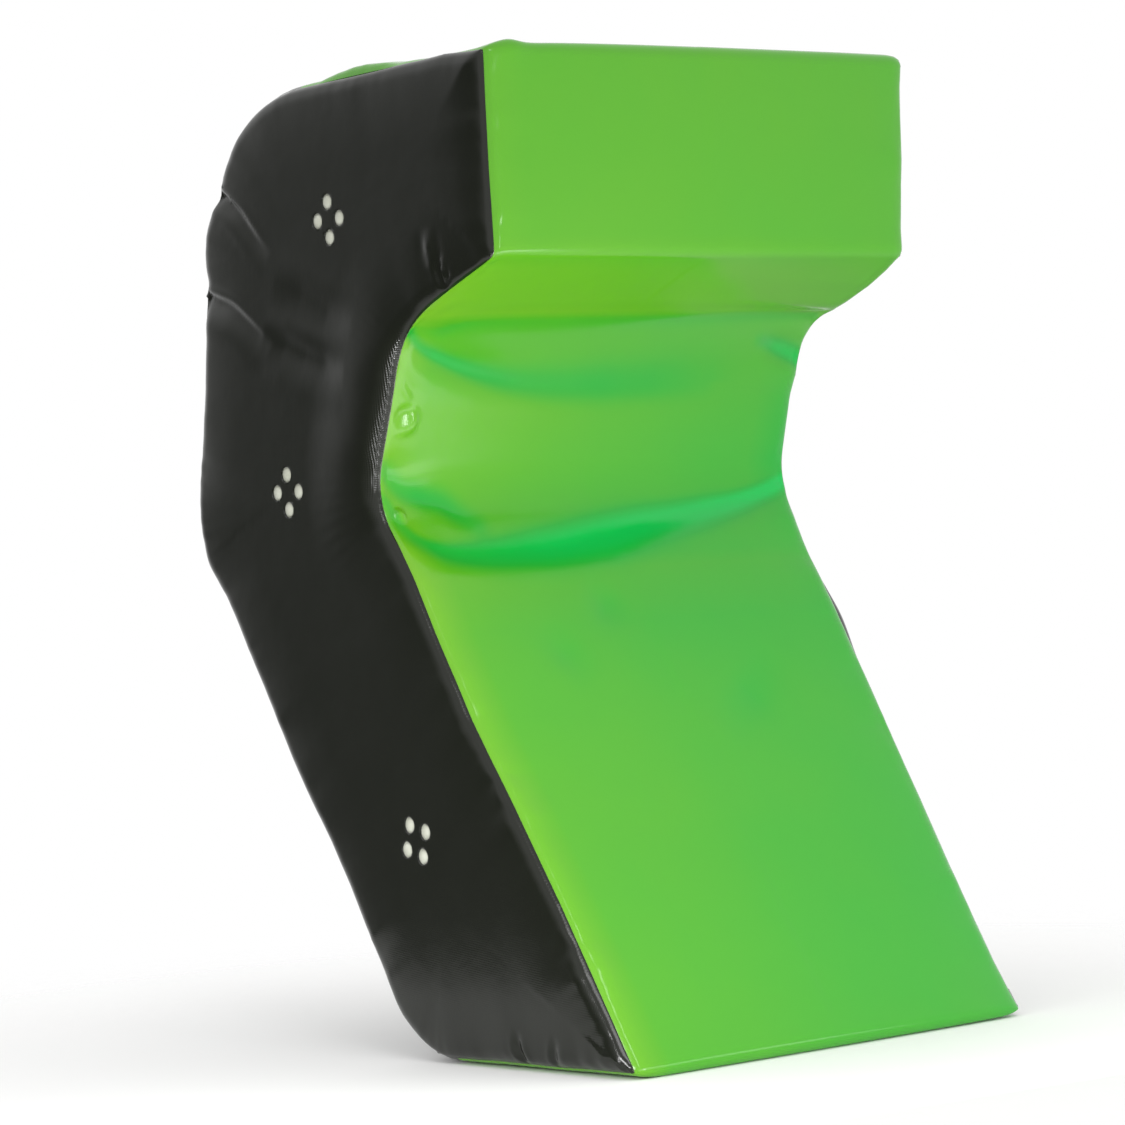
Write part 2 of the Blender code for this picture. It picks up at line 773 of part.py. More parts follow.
def strap_rows():
    """The strap from its lower end up: distance up the back, lift, and whether it lies on a patch."""
    start = handle_centre - handle_half
    rows = [(distance, strap_lift, True) for distance in back_rows(start, start + STRAP_END)]
    for step in range(1, RAMP_STEPS + 1):
        share = step / RAMP_STEPS
        eased = share * share * (3 - 2 * share)
        distance = start + STRAP_END + STRAP_RAMP * share
        rows.append((distance, strap_lift + (HANDLE_STAND - strap_lift) * eased, False))
    ramp = [row for row in rows if not row[2]]
    rows += [(2 * handle_centre - distance, lift, False) for distance, lift, _ in reversed(ramp)]
    end = handle_centre + handle_half
    return rows + [(distance, strap_lift, True) for distance in back_rows(end - STRAP_END, end)]


def make_strap(name, side):
    rows = strap_rows()
    edges = (HANDLE_OFFSET - STRAP_WIDTH / 2, HANDLE_OFFSET + STRAP_WIDTH / 2)

    def place(row, column):
        distance, lift, sewn = rows[row]
        return (back_point if sewn else over_wall)(side * edges[column], distance, lift)

    mesh = sheet(name, len(rows), len(edges), place, outward_on_back)
    thicken(piece(name, mesh, "webbing"), STRAP_THICKNESS, outwards=True)


def make_grip(name, side):
    """A sleeve of oval section with a slot for the strap."""
    wide, deep = GRIP_WIDTH / 2, GRIP_DEPTH / 2
    slot_wide = STRAP_WIDTH / 2 + GRIP_CLEARANCE
    slot_deep = STRAP_THICKNESS / 2 + GRIP_CLEARANCE
    corner = deep - GRIP_CLEARANCE
    rim = rounded([(x, y, corner) for x, y in ((-wide, -deep), (wide, -deep), (wide, deep), (-wide, deep))])
    slot = [
        Vector((-slot_wide, -slot_deep)),
        Vector((slot_wide, -slot_deep)),
        Vector((slot_wide, slot_deep)),
        Vector((-slot_wide, slot_deep)),
    ]
    blank = cut_from_curve(name, [rim, slot], GRIP_LENGTH / 2)
    bm = bmesh.new()
    bm.from_mesh(blank)
    bpy.data.meshes.remove(blank)

    def on_rim(vert):
        return abs(vert.co.x) > slot_wide + WELD or abs(vert.co.y) > slot_deep + WELD

    def on_end(edge):
        level = abs(edge.verts[0].co.z - edge.verts[1].co.z) < WELD
        caps = [face for face in edge.link_faces if abs(face.normal.z) > END_FACING]
        return level and len(caps) == 1

    ends = [edge for edge in bm.edges if on_end(edge) and all(on_rim(vert) for vert in edge.verts)]
    bmesh.ops.bevel(bm, geom=ends, offset=GRIP_END_BEVEL, segments=2, profile=0.5, affect="EDGES")
    grip = piece(name, finished(bm, name), "grip_rubber")
    grip.location = back_point(side * HANDLE_OFFSET, handle_centre, HANDLE_STAND + STRAP_THICKNESS / 2)
    up, out = back_axes(handle_centre)
    grip.rotation_euler.x = math.atan2(out.z, out.y)


make_strike_cover()
make_foam_block("head_foam", True)
make_foam_block("leg_foam", False)
for hand, side in (("left", -1), ("right", 1)):
    make_side_panel(hand + "_side_panel", side)
    make_back_panel(hand + "_back_panel", side)
    make_zip_tape(hand + "_zip_tape", side)
    make_zip_teeth(hand + "_zip_teeth", side)
    make_patch(hand + "_upper_patch", side, True)
    make_patch(hand + "_lower_patch", side, False)
    make_strap(hand + "_handle_strap", side)
    make_grip(hand + "_handle_grip", side)
make_zip_stop("lower_zip_stop", teeth_from - STOP_LENGTH / 2)
make_zip_stop("upper_zip_stop", teeth_to + STOP_LENGTH / 2)
zip_slider = make_zip_slider()
zip_pull = make_zip_pull(zip_slider)

# The pad stands with the middle of its foot-print under the origin

bpy.context.view_layer.update()
depths = []
evaluated_scene = bpy.context.evaluated_depsgraph_get()
for obj in wedge_parts.objects:
    if obj.type == "MESH":
        shown = obj.evaluated_get(evaluated_scene)
        depths += [(shown.matrix_world @ vert.co).y for vert in shown.data.vertices]
origin.location.y = -(min(depths) + max(depths)) / 2
bpy.context.view_layer.update()

print("slide starts at", [round(v, 6) for v in zip_slider.matrix_world.translation])
print("slides along", [round(v, 6) for v in back_axes(slider_rest)[0]])
print("slider travel", round(slider_travel, 6))
print("pull pivot", [round(v, 6) for v in zip_pull.matrix_world.translation])
print("origin moved back by", round(-origin.location.y, 6))
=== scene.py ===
# Tackle wedge: foam in a sewn cover of glossy PVC sheet, with side vents, a zip and two grab handles
import math

import bmesh
import bpy
import numpy as np
from mathutils import Matrix, Vector, noise


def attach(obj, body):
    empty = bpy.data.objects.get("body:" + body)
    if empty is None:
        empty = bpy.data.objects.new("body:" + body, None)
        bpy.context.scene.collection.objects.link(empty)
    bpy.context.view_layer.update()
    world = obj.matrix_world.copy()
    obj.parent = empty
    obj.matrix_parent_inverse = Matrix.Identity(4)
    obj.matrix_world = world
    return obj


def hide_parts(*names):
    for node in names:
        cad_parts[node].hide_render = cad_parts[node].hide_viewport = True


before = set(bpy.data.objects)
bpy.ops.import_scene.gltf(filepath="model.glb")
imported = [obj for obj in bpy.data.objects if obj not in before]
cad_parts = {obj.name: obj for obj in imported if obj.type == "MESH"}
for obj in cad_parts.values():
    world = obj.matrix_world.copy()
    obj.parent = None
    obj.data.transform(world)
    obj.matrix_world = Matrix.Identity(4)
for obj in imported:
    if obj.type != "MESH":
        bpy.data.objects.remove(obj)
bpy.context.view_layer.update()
mm = 0.001  # the tables of folds, seams and tones are in millimetres

# The outline of the side view, from the top of the face round to the back: each corner's depth, height and
# radius, how far the middle of the run after it stands out, and how far that run's seams lie in
corners = {
    "browEdge": (0.000, 0.801, 0.004, 0.009, 0.0),
    "lipEdge": (0.009, 0.640, 0.005, 0.004, 0.0),
    "notch": (0.128, 0.594, 0.100, 0.004, 0.0),
    "waist": (0.180, 0.455, 0.065, 0.009, 0.0),
    "toe": (-0.0954, 0.000, 0.004, 0.0, 0.005),
    "heel": (0.1736, 0.000, 0.090, 0.006, 0.0),
    "bend": (0.424, 0.427, 0.140, 0.006, 0.0),
    "topBack": (0.370, 0.794, 0.152, 0.006, 0.0),
}
wedge = {
    "headWidth": 0.450,
    "footWidth": 0.422,
    "tallest": 0.801,
    "sideCrown": 0.010,
    "smallestRadius": 0.002,
    "depthShift": -0.187035,  # from the face's own zero to the frame's
    "arcSteps": 24,
}
crownShape = {
    "edge": 0.016,  # how far in from a seam the sheet has turned over
    "plateauShare": 0.40,  # over what share of the half width it rises to its plateau
    "front": (0.45, 0.35, 0.20),  # what the edge, the plateau and an arch add to the crown of a run in front
    "back": (0.0, 0.75, 0.25),
    "liftReach": 0.030,  # how far in from a seam the sheet is still on its way down to the floor
}


def halfWidth(height):
    # half the width from seam to seam, which narrows towards the foot
    return (wedge["footWidth"] + (wedge["headWidth"] - wedge["footWidth"]) * height / wedge["tallest"]) / 2


def roundCorner(meet, into, outOf, radius):
    # the points of the arc between two runs that meet
    turn = math.atan2(into[0] * outOf[1] - into[1] * outOf[0], into @ outOf)
    start = meet - into * radius * math.tan(abs(turn) / 2)
    centre = start + np.array((-into[1], into[0])) * math.copysign(radius, turn)
    angle = turn * np.arange(wedge["arcSteps"] + 1) / wedge["arcSteps"]
    spoke = start - centre
    across = spoke[0] * np.cos(angle) - spoke[1] * np.sin(angle)
    up = spoke[0] * np.sin(angle) + spoke[1] * np.cos(angle)
    return centre + np.stack((across, up), 1)


def sideOutline(moves):
    # the closed outline in (depth, height), each run moved out by its own amount
    places = np.array([corner[:2] for corner in corners.values()])
    runs = np.roll(places, -1, 0) - places
    runs /= np.linalg.norm(runs, axis=1)[:, None]
    starts = places + np.stack((runs[:, 1], -runs[:, 0]), 1) * np.array(moves)[:, None]
    arcs = []
    for i, (_, _, radius, _, _) in enumerate(corners.values()):
        into, outOf = runs[i - 1], runs[i]
        turn = into[0] * outOf[1] - into[1] * outOf[0]
        apart = starts[i] - starts[i - 1]
        meet = starts[i - 1] + into * (apart[0] * outOf[1] - apart[1] * outOf[0]) / turn
        moved = math.copysign(1, turn) * (moves[i - 1] + moves[i]) / 2
        arcs.append(roundCorner(meet, into, outOf, max(radius + moved, wedge["smallestRadius"])))
    return np.concatenate(arcs)


def cornerIndex(name, part):
    # where a corner's arc starts, has its middle or ends, in the outline's list
    steps = wedge["arcSteps"]
    return list(corners).index(name) * (steps + 1) + {"start": 0, "middle": steps // 2, "end": steps}[part]


# The outline in stretches, in the order that it runs: first and last place, and how many cells of the mesh
# it has
stretches = {
    "topFront": (("topBack", "end"), ("browEdge", "middle"), 82),
    "front": (("browEdge", "middle"), ("toe", "middle"), 300),
    "footFront": (("toe", "middle"), ("heel", "start"), 98),
    "footBack": (("heel", "start"), ("heel", "middle"), 18),
    "back": (("heel", "middle"), ("topBack", "middle"), 300),
    "topRear": (("topBack", "middle"), ("topBack", "end"), 34),
}
frontNames = ("topFront", "front", "footFront")
backNames = ("footBack", "back", "topRear")


def marksAlong(points):
    # how far along a line each of its points lies
    return np.concatenate(([0], np.cumsum(np.linalg.norm(np.diff(points, axis=0), axis=1))))


def rowsAlong(ring, names):
    # evenly spaced rows over some stretches of an outline
    rows = []
    for name in names:
        first, last, cells = stretches[name]
        start, end = cornerIndex(*first), cornerIndex(*last)
        picked = ring[[i % len(ring) for i in range(start, end + (len(ring) if end < start else 0) + 1)]]
        marks = marksAlong(picked)
        wanted = np.linspace(0, marks[-1], cells + 1)
        run = np.stack([np.interp(wanted, marks, picked[:, k]) for k in (0, 1)], 1)
        rows.append(run if not rows else run[1:])
    return np.concatenate(rows)


def quarterRound(share):
    # rises from 0 to 1 as a quarter of a circle does
    return np.sqrt(1 - (1 - np.clip(share, 0, 1)) ** 2)


def smoothStep(value, low, high):
    # rises from 0 to 1 between low and high, or falls where low is the higher one
    share = np.clip((value - low) / (high - low), 0, 1)
    return share * share * (3 - 2 * share)


def hump(value, middle, reach, power=2):
    # 1 at the middle, and dies away over a reach, the more steeply the higher the power
    return np.exp(-((np.abs(value - middle) / reach) ** power))


def crownShare(across, weights):
    # how much of its crown a run has, at a share of the way from the middle to a seam
    edge = quarterRound((1 - across) * wedge["headWidth"] / 2 / crownShape["edge"])
    plateau = quarterRound((1 - across) / crownShape["plateauShare"])
    return float(weights[0] * edge + weights[1] * plateau + weights[2] * (1 - across * across))


def runMoves(across):
    # how far each run of the outline stands out there
    lifted = 1 - float(quarterRound((1 - across) * wedge["headWidth"] / 2 / crownShape["liftReach"]))
    moves = []
    for name, (_, _, _, crown, lift) in corners.items():
        weights = crownShape["back" if name in ("heel", "bend") else "front"]
        moves.append(crown * crownShare(across, weights) - lift * lifted)
    return moves


seamLoop = rowsAlong(sideOutline(runMoves(1.0)), stretches)
seamMarks = marksAlong(seamLoop)


def stretchSlice(*names):
    # the rows of some stretches that follow each other, round the seam
    order = list(stretches)
    start = sum(stretches[before][2] for before in order[: order.index(names[0])])
    return slice(start, start + sum(stretches[name][2] for name in names) + 1)


lipMark = float(seamMarks[np.argmin(np.linalg.norm(seamLoop - np.array(corners["lipEdge"][:2]), axis=1))])

# Gathers and folds

# The puckers that the stitching draws into the sheet: each kind's scale and seed, its height, and how far
# in from the seam it has risen and has died away
puckers = {
    "near": {"scale": 0.011, "seed": 0.0, "height": 0.0016, "start": 0.004, "reach": 0.010},
    "far": {"scale": 0.034, "seed": 7.3, "height": 0.0034, "start": 0.012, "reach": 0.026},
}
# How hard the stitching pulls, from its least to 1
pulls = {"scale": 0.085, "seed": 3.1, "least": 0.35, "low": -0.15, "high": 0.35}
seamSway = {"scale": 0.045, "seed": 11.7, "height": 0.0007}  # the seam's own unevenness
foldShape = {"sharpness": 1.5, "lip": 0.25, "lipPlace": 1.7, "lipReach": 0.7}


def noiseAlong(places, scale, seed):
    # smooth seeded noise at points of the side view
    return np.array([noise.noise(Vector((y / scale, z / scale, seed))) for y, z in places])


def pathDistance(points, path):
    # distance to a path, the side of it (+1 or -1) and how far along it the nearest place is, as a share
    path = np.array(path, float)
    runs = np.diff(path, axis=0)
    lengths = np.linalg.norm(runs, axis=1)
    marks = marksAlong(path)
    nearest = np.full(len(points), np.inf)
    side = np.ones(len(points))
    along = np.zeros(len(points))
    for start, run, length, mark in zip(path, runs, lengths, marks):
        away = points - start
        share = np.clip(away @ run / length**2, 0, 1)
        gap = away - share[:, None] * run
        distance = np.hypot(gap[:, 0], gap[:, 1])
        closer = distance < nearest
        nearest[closer] = distance[closer]
        side[closer] = np.where(run[0] * away[:, 1] - run[1] * away[:, 0] >= 0, 1, -1)[closer]
        along[closer] = (mark + share * length)[closer] / marks[-1]
    return nearest, side, along


def smoothPath(points, steps=6):
    # a Catmull-Rom curve through the points
    ends = np.vstack((2 * points[0] - points[1], points, 2 * points[-1] - points[-2]))
    curve = []
    for before, start, end, after in zip(ends, ends[1:], ends[2:], ends[3:]):
        for t in np.arange(steps) / steps:
            square = 2 * before - 5 * start + 4 * end - after
            cube = 3 * start - before - 3 * end + after
            curve.append(0.5 * (2 * start + (end - before) * t + square * t**2 + cube * t**3))
    return np.array(curve + [points[-1]])


def nearFold(points, fold):
    # the distance to a fold's line, the side of it, and a fold's own values at the nearest place along it
    distance, side, along = pathDistance(points, smoothPath(np.array(fold["path"]) * mm))
    return distance, side, lambda key: np.interp(along, np.linspace(0, 1, len(fold[key])), fold[key])


def foldRelief(points, folds):
    # valleys along paths, wider on one side than on the other, with the lips that stand up beside them
    relief = np.zeros(len(points))
    for fold in folds.values():
        distance, side, valueOf = nearFold(points, fold)
        depth = valueOf("depths") * mm
        reach = np.where(side > 0, fold["left"], fold["right"]) * mm
        relief -= depth * np.exp(-((distance / reach) ** 2) * foldShape["sharpness"])
        lip = hump(distance, foldShape["lipPlace"] * reach, foldShape["lipReach"] * reach)
        relief += fold.get("lip", foldShape["lip"]) * depth * lip
    return relief


def makeGathers(seed):
    # one side's puckers and its seam's sway, by the seam's rows
    def wave(kind):
        return noiseAlong(seamLoop, kind["scale"], seed + kind["seed"])

    strength = pulls["least"] + (1 - pulls["least"]) * smoothStep(wave(pulls), pulls["low"], pulls["high"])
    return {"sway": wave(seamSway), **{name: wave(kind) * strength for name, kind in puckers.items()}}


gathers = {-1: makeGathers(2.0), 1: makeGathers(23.0)}


def gatherRelief(side, marks, inFromSeam):
    relief = np.zeros(inFromSeam.shape)
    for name, kind in puckers.items():
        wave = kind["height"] * np.interp(marks, seamMarks, gathers[side][name])
        relief += wave * smoothStep(inFromSeam, 0, kind["start"]) * np.exp(-inFromSeam / kind["reach"])
    return relief


# The front seams aren't quite the same on both sides: (distance below the lip's corner, how far out), in
# millimetres
frontSway = {
    -1: (
        (-207, 0), (-157, -3), (-77, -1), (13, 2), (93, 2), (133, 0), (173, 1.5), (253, 0), (313, 2.7),
        (343, 2.5), (393, -0.5), (473, -3.6), (553, -1), (643, 1), (773, 0), (813, 0),
    ),
    1: (
        (-207, 0), (-167, 2), (-137, 0.5), (-77, 2.5), (-17, 1), (8, 3), (23, 6), (48, 9), (78, 9),
        (96, 7.5), (110, 3), (123, 0), (143, -1.5), (173, 2), (193, 0), (218, 2.5), (243, 5), (278, 7.5),
        (308, 5), (343, 2), (403, 3), (493, 0), (578, -2), (673, -4.5), (743, -6), (773, -4), (813, 0),
    ),
}

# The back's seams by height, and how far out: nipped in where the black sheet's creases reach them
backSway = (
    (0, -4), (34, -2), (68, -3.5), (103, -4.5), (137, -6), (172, -6), (206, -3), (240, -1.5), (320, -3.5),
    (380, -4.5), (396, -1), (413, 4.5), (447, 4), (482, 3), (516, -0.5), (554, -2.2), (594, -2.4),
    (619, -3.6), (638, -1.2), (647, -7), (659, -2), (671, 0), (694, 0), (705, -2.5), (712.5, -4.5),
    (720.5, -8.5), (730, -7.5), (739, -4.5), (749, -3), (764, 0), (790, 0),
)
# How far into the sheet a seam's move is felt: its own unevenness and the back's nips, and the front's sway
swayReach = {"near": 0.022, "front": 0.070}
nipsFrom = 0.03  # the height from which the back's nips are whole


def seamMove(marks, side, away=0.0):
    # how far a seam is out of its own line, in (depth, height), which dies away into the sheet
    normals, places = (np.stack([np.interp(marks, seamMarks, line[:, k]) for k in (0, 1)], 1)
                       for line in (seamNormals, seamLoop))
    sway = seamSway["height"] * np.interp(marks, seamMarks, gathers[side]["sway"])
    behind = marks > (seamMarks[stretchSlice("footBack").start] + seamMarks[stretchSlice("back").start]) / 2
    onBack = smoothStep(places[:, 1], 0.0, nipsFrom) * behind
    sway += onBack * np.interp(places[:, 1], *np.array(backSway).T * mm)
    bulge = np.interp(marks - lipMark, *np.array(frontSway[side]).T * mm)
    out = sway * np.exp(-away / swayReach["near"]) + bulge * np.exp(-away / swayReach["front"])
    return normals * out[:, None]


def outwardNormals(ring):
    run = np.roll(ring, -1, 0) - np.roll(ring, 1, 0)
    run /= np.linalg.norm(run, axis=1)[:, None]
    return np.stack((run[:, 1], -run[:, 0]), 1)


seamNormals = outwardNormals(seamLoop[:-1])
seamNormals = np.vstack((seamNormals, seamNormals[:1]))

# Meshes


def gridMesh(places, patterns, tones=None):
    # a grid of faces through the places, with the flat sheet's own coordinates as its UV map and, where tones
    # are given, a tone at each point: painted light and shade on the green, how tightly it is drawn on the
    # black
    rows, columns = places.shape[0] - 1, places.shape[1] - 1
    bm = bmesh.new()
    bmesh.ops.create_grid(bm, x_segments=columns, y_segments=rows, size=0.5)
    uvLayer = bm.loops.layers.uv.new("cloth")
    toneLayer = None if tones is None else bm.verts.layers.float.new("tone")
    flat = {}
    for vert in bm.verts:
        row, column = round((vert.co.y + 0.5) * rows), round((vert.co.x + 0.5) * columns)
        vert.co = places[row, column]
        flat[vert] = patterns[row, column]
        if toneLayer:
            vert[toneLayer] = tones[row, column]
    for face in bm.faces:
        for loop in face.loops:
            loop[uvLayer].uv = flat[loop.vert]
    return bm


def faceOutwards(bm, outward):
    # turns the whole sheet round if most of it faces the wrong way
    bm.normal_update()
    facing = sum(face.normal.dot(outward(face.calc_center_median())) * face.calc_area() for face in bm.faces)
    if facing < 0:
        bmesh.ops.reverse_faces(bm, faces=bm.faces)
    bm.normal_update()


def toObject(bm, name, material, ofPad=True):
    # a piece of the pad goes to the frame's own depth and is smooth
    if ofPad:
        bmesh.ops.translate(bm, vec=(0, wedge["depthShift"], 0), verts=bm.verts)
    mesh = bpy.data.meshes.new(name)
    bm.to_mesh(mesh)
    bm.free()
    if ofPad:
        mesh.shade_smooth()
    obj = bpy.data.objects.new(name, mesh)
    bpy.context.scene.collection.objects.link(obj)
    obj.data.materials.append(material)
    return obj


def gridNormals(places, towards):
    # each grid point's normal by its neighbours, all turned so that the middle one faces forwards (-1) or
    # back (1)
    normals = np.cross(np.gradient(places, axis=1), np.gradient(places, axis=0))
    normals /= np.linalg.norm(normals, axis=2)[:, :, None]
    middle = normals[len(normals) // 2, normals.shape[1] // 2, 1]
    return normals if middle * towards > 0 else -normals


# Colours and nodes


def colour(hexCode, alpha=1.0):
    # an sRGB hex code as linear light
    channels = [int(hexCode[i : i + 2], 16) / 255 for i in (1, 3, 5)]
    return (*(c / 12.92 if c <= 0.04045 else ((c + 0.055) / 1.055) ** 2.4 for c in channels), alpha)


def setInputs(owner, node, **inputs):
    # an input takes a value or a node's output; its name's underscores stand for spaces, and i0 is the
    # first one
    for name, value in inputs.items():
        numbered = name[0] == "i" and name[1:].isdigit()
        socket = node.inputs[int(name[1:]) if numbered else name.replace("_", " ")]
        if isinstance(value, bpy.types.NodeSocket):
            owner.node_tree.links.new(value, socket)
        else:
            socket.default_value = value


def addNode(owner, kind, settings=None, output=0, **inputs):
    # adds a node to a material or a world, with its settings and links, and gives one of its outputs
    node = owner.node_tree.nodes.new("ShaderNode" + kind)
    for name, value in (settings or {}).items():
        if name != "stops":
            setattr(node, name, value)
            continue
        while len(node.color_ramp.elements) < len(value):
            node.color_ramp.elements.new(0.5)
        for element, (place, hexCode) in zip(node.color_ramp.elements, value):
            element.position = place
            element.color = colour(hexCode)
    setInputs(owner, node, **inputs)
    return node.outputs[output]


def newMaterial(name):
    material = bpy.data.materials.new(name)
    material.use_nodes = True
    return material, material.node_tree.nodes["Principled BSDF"]


def threadWeave(material, sources, pitch):
    # two crossing rows of rounded threads, along two coordinates of the cloth
    waves = []
    for source in sources:
        angle = addNode(material, "Math", {"operation": "MULTIPLY"}, i0=source, i1=2 * math.pi / pitch)
        waves.append(addNode(material, "Math", {"operation": "SINE"}, i0=angle))
    return addNode(material, "Math", {"operation": "MULTIPLY"}, i0=waves[0], i1=waves[1])


def coatedSheet(name, stops, gloss, drawn, scrimPitch):
    # PVC-coated polyester sheet, calendered glossy. On the green its tone is painted light and shade:
    # yellower where the light falls, deeper green in folds and on the shaded side. On the black its tone is
    # how tightly it is drawn. The woven scrim inside telegraphs through the skin as a fine slanting grid,
    # coarser than the real one of about 1 mm so that it shows, and most where a drawn sheet is tight
    material, shader = newMaterial(name)
    place = addNode(material, "TexCoord", output="Object")
    cloud = addNode(material, "TexNoise", Vector=place, Scale=5.0, Detail=3.0, Roughness=0.5)
    # the colour: a little random cloud, plus the tone, which on the green is painted light and shade
    tone = addNode(material, "Attribute", {"attribute_name": "tone"}, output="Fac")
    depth = addNode(material, "Math", {"operation": "MULTIPLY_ADD"}, i0=cloud, i1=0.12, i2=-0.06)
    depth = addNode(material, "Math", {"operation": "ADD"}, i0=depth, i1=tone)
    tint = addNode(material, "ValToRGB", {"stops": stops}, Fac=depth)
    flat = addNode(material, "UVMap", {"uv_map": "cloth"})
    turned = addNode(material, "Mapping", Vector=flat, Rotation=(0.0, 0.0, math.radians(38)))
    axes = [addNode(material, "SeparateXYZ", output=axis, Vector=turned) for axis in ("X", "Y")]
    tightness = addNode(material, "Math", {"operation": "MULTIPLY_ADD"}, i0=tone, i1=drawn, i2=0.08)
    bump = addNode(material, "Bump", Height=threadWeave(material, axes, scrimPitch), Strength=tightness,
                   Distance=0.00012)
    ripple = addNode(material, "TexNoise", Vector=place, Scale=38.0, Detail=2.0, Roughness=0.45)
    bump = addNode(material, "Bump", Height=ripple, Strength=0.16, Distance=0.0012, Normal=bump)
    skin = addNode(material, "TexNoise", Vector=place, Scale=900.0, Detail=2.0)
    bump = addNode(material, "Bump", Height=skin, Strength=0.06, Distance=0.00003, Normal=bump)
    rub = addNode(material, "TexNoise", Vector=place, Scale=14.0, Detail=5.0, Roughness=0.6)
    roughness = addNode(material, "MapRange", Value=rub, From_Min=0.35, From_Max=0.70, To_Min=gloss - 0.03,
                        To_Max=gloss + 0.05)
    setInputs(material, shader, Base_Color=tint, Roughness=roughness, Normal=bump, IOR=1.53,
              Specular_IOR_Level=0.38)
    return material


# The green's ramp: from painted light, yellow-green, through the flat face's green, to painted shade, deep
# green
greenLitToShadedStops = ((0.0, "#82AC28"), (0.50, "#4E9D1A"), (0.75, "#1B9A2D"), (0.9, "#06A53C"), (1.0, "#00AE48"))
blackStops = ((0.0, "#12150D"), (1.0, "#171A12"))
greenSheet = coatedSheet("green PVC-coated polyester, calendered", greenLitToShadedStops, 0.15, 0.0, 0.0021)
blackSheet = coatedSheet("black PVC-coated polyester, calendered", blackStops, 0.14, 0.9, 0.0026)


def cellFoam(name, pores, clouds, stops, relief, roughness):
    # foam: fine pits by its cells, and a slow change of tone
    material, shader = newMaterial(name)
    place = addNode(material, "TexCoord", output="Object")
    pits = addNode(material, "TexVoronoi", Vector=place, Scale=pores)
    cloud = addNode(material, "TexNoise", Vector=place, Scale=clouds, Detail=3.0)
    tint = addNode(material, "ValToRGB", {"stops": stops}, Fac=cloud)
    bump = addNode(material, "Bump", Height=pits, Strength=relief, Distance=0.0003)
    setInputs(material, shader, Base_Color=tint, Roughness=roughness, Normal=bump)
    return material


# Open-celled PU foam, cut from the block: pale, dead matt, with pores of about half a millimetre
paleStops = ((0.3, "#B6B8A8"), (0.7, "#CDCFC2"))
foamMaterial = cellFoam("pale polyurethane foam, block cut", 1500.0, 60.0, paleStops, 0.5, 0.95)
# Closed-cell rubber foam sleeve: dull black, skinned, with a fine orange-peel grain
gripStops = ((0.3, "#161617"), (0.7, "#202022"))
rubberFoam = cellFoam("black rubber foam grip, moulded", 900.0, 45.0, gripStops, 0.35, 0.68)
print("materials made")

# Cover: the green wrap, from the seam at the top's rounded corner down the front to the seam at the heel

panels = {
    "seamCells": 150,  # cells across the wrap, from seam to seam
    "evenShare": 0.72,  # the rest draws its columns closer together near the seams
    "seamBlend": (-0.001, 0.006),  # how far in from a seam the folds have risen
    "floorBlend": (0.001, 0.012),  # and how far up from the floor
    "judgedBy": (0.1, 0.7),  # heights between which the faces in front tell which way the wrap is turned
}


def columnShares(cells):
    even = np.linspace(-1, 1, cells + 1)
    return panels["evenShare"] * even + (1 - panels["evenShare"]) * np.sin(even * math.pi / 2)


def wrapPlaces(names, shares):
    # the wrap's rows and columns over some stretches, with both seams where the gathers take them
    rings = {}
    for share in shares:
        rings.setdefault(round(abs(share), 6), rowsAlong(sideOutline(runMoves(abs(share))), names))
    marks = seamMarks[stretchSlice(*names)]
    places = np.zeros((len(marks), len(shares), 3))
    inFromSeam = np.zeros((len(marks), len(shares)))
    for column, share in enumerate(shares):
        ring = rings[round(abs(share), 6)].copy()
        away = (1 - abs(share)) * halfWidth(ring[:, 1])
        ring += seamMove(marks, -1 if share < 0 else 1, away)
        places[:, column] = np.stack((share * halfWidth(ring[:, 1]), ring[:, 0], ring[:, 1]), 1)
        inFromSeam[:, column] = away
    return places, marks, inFromSeam
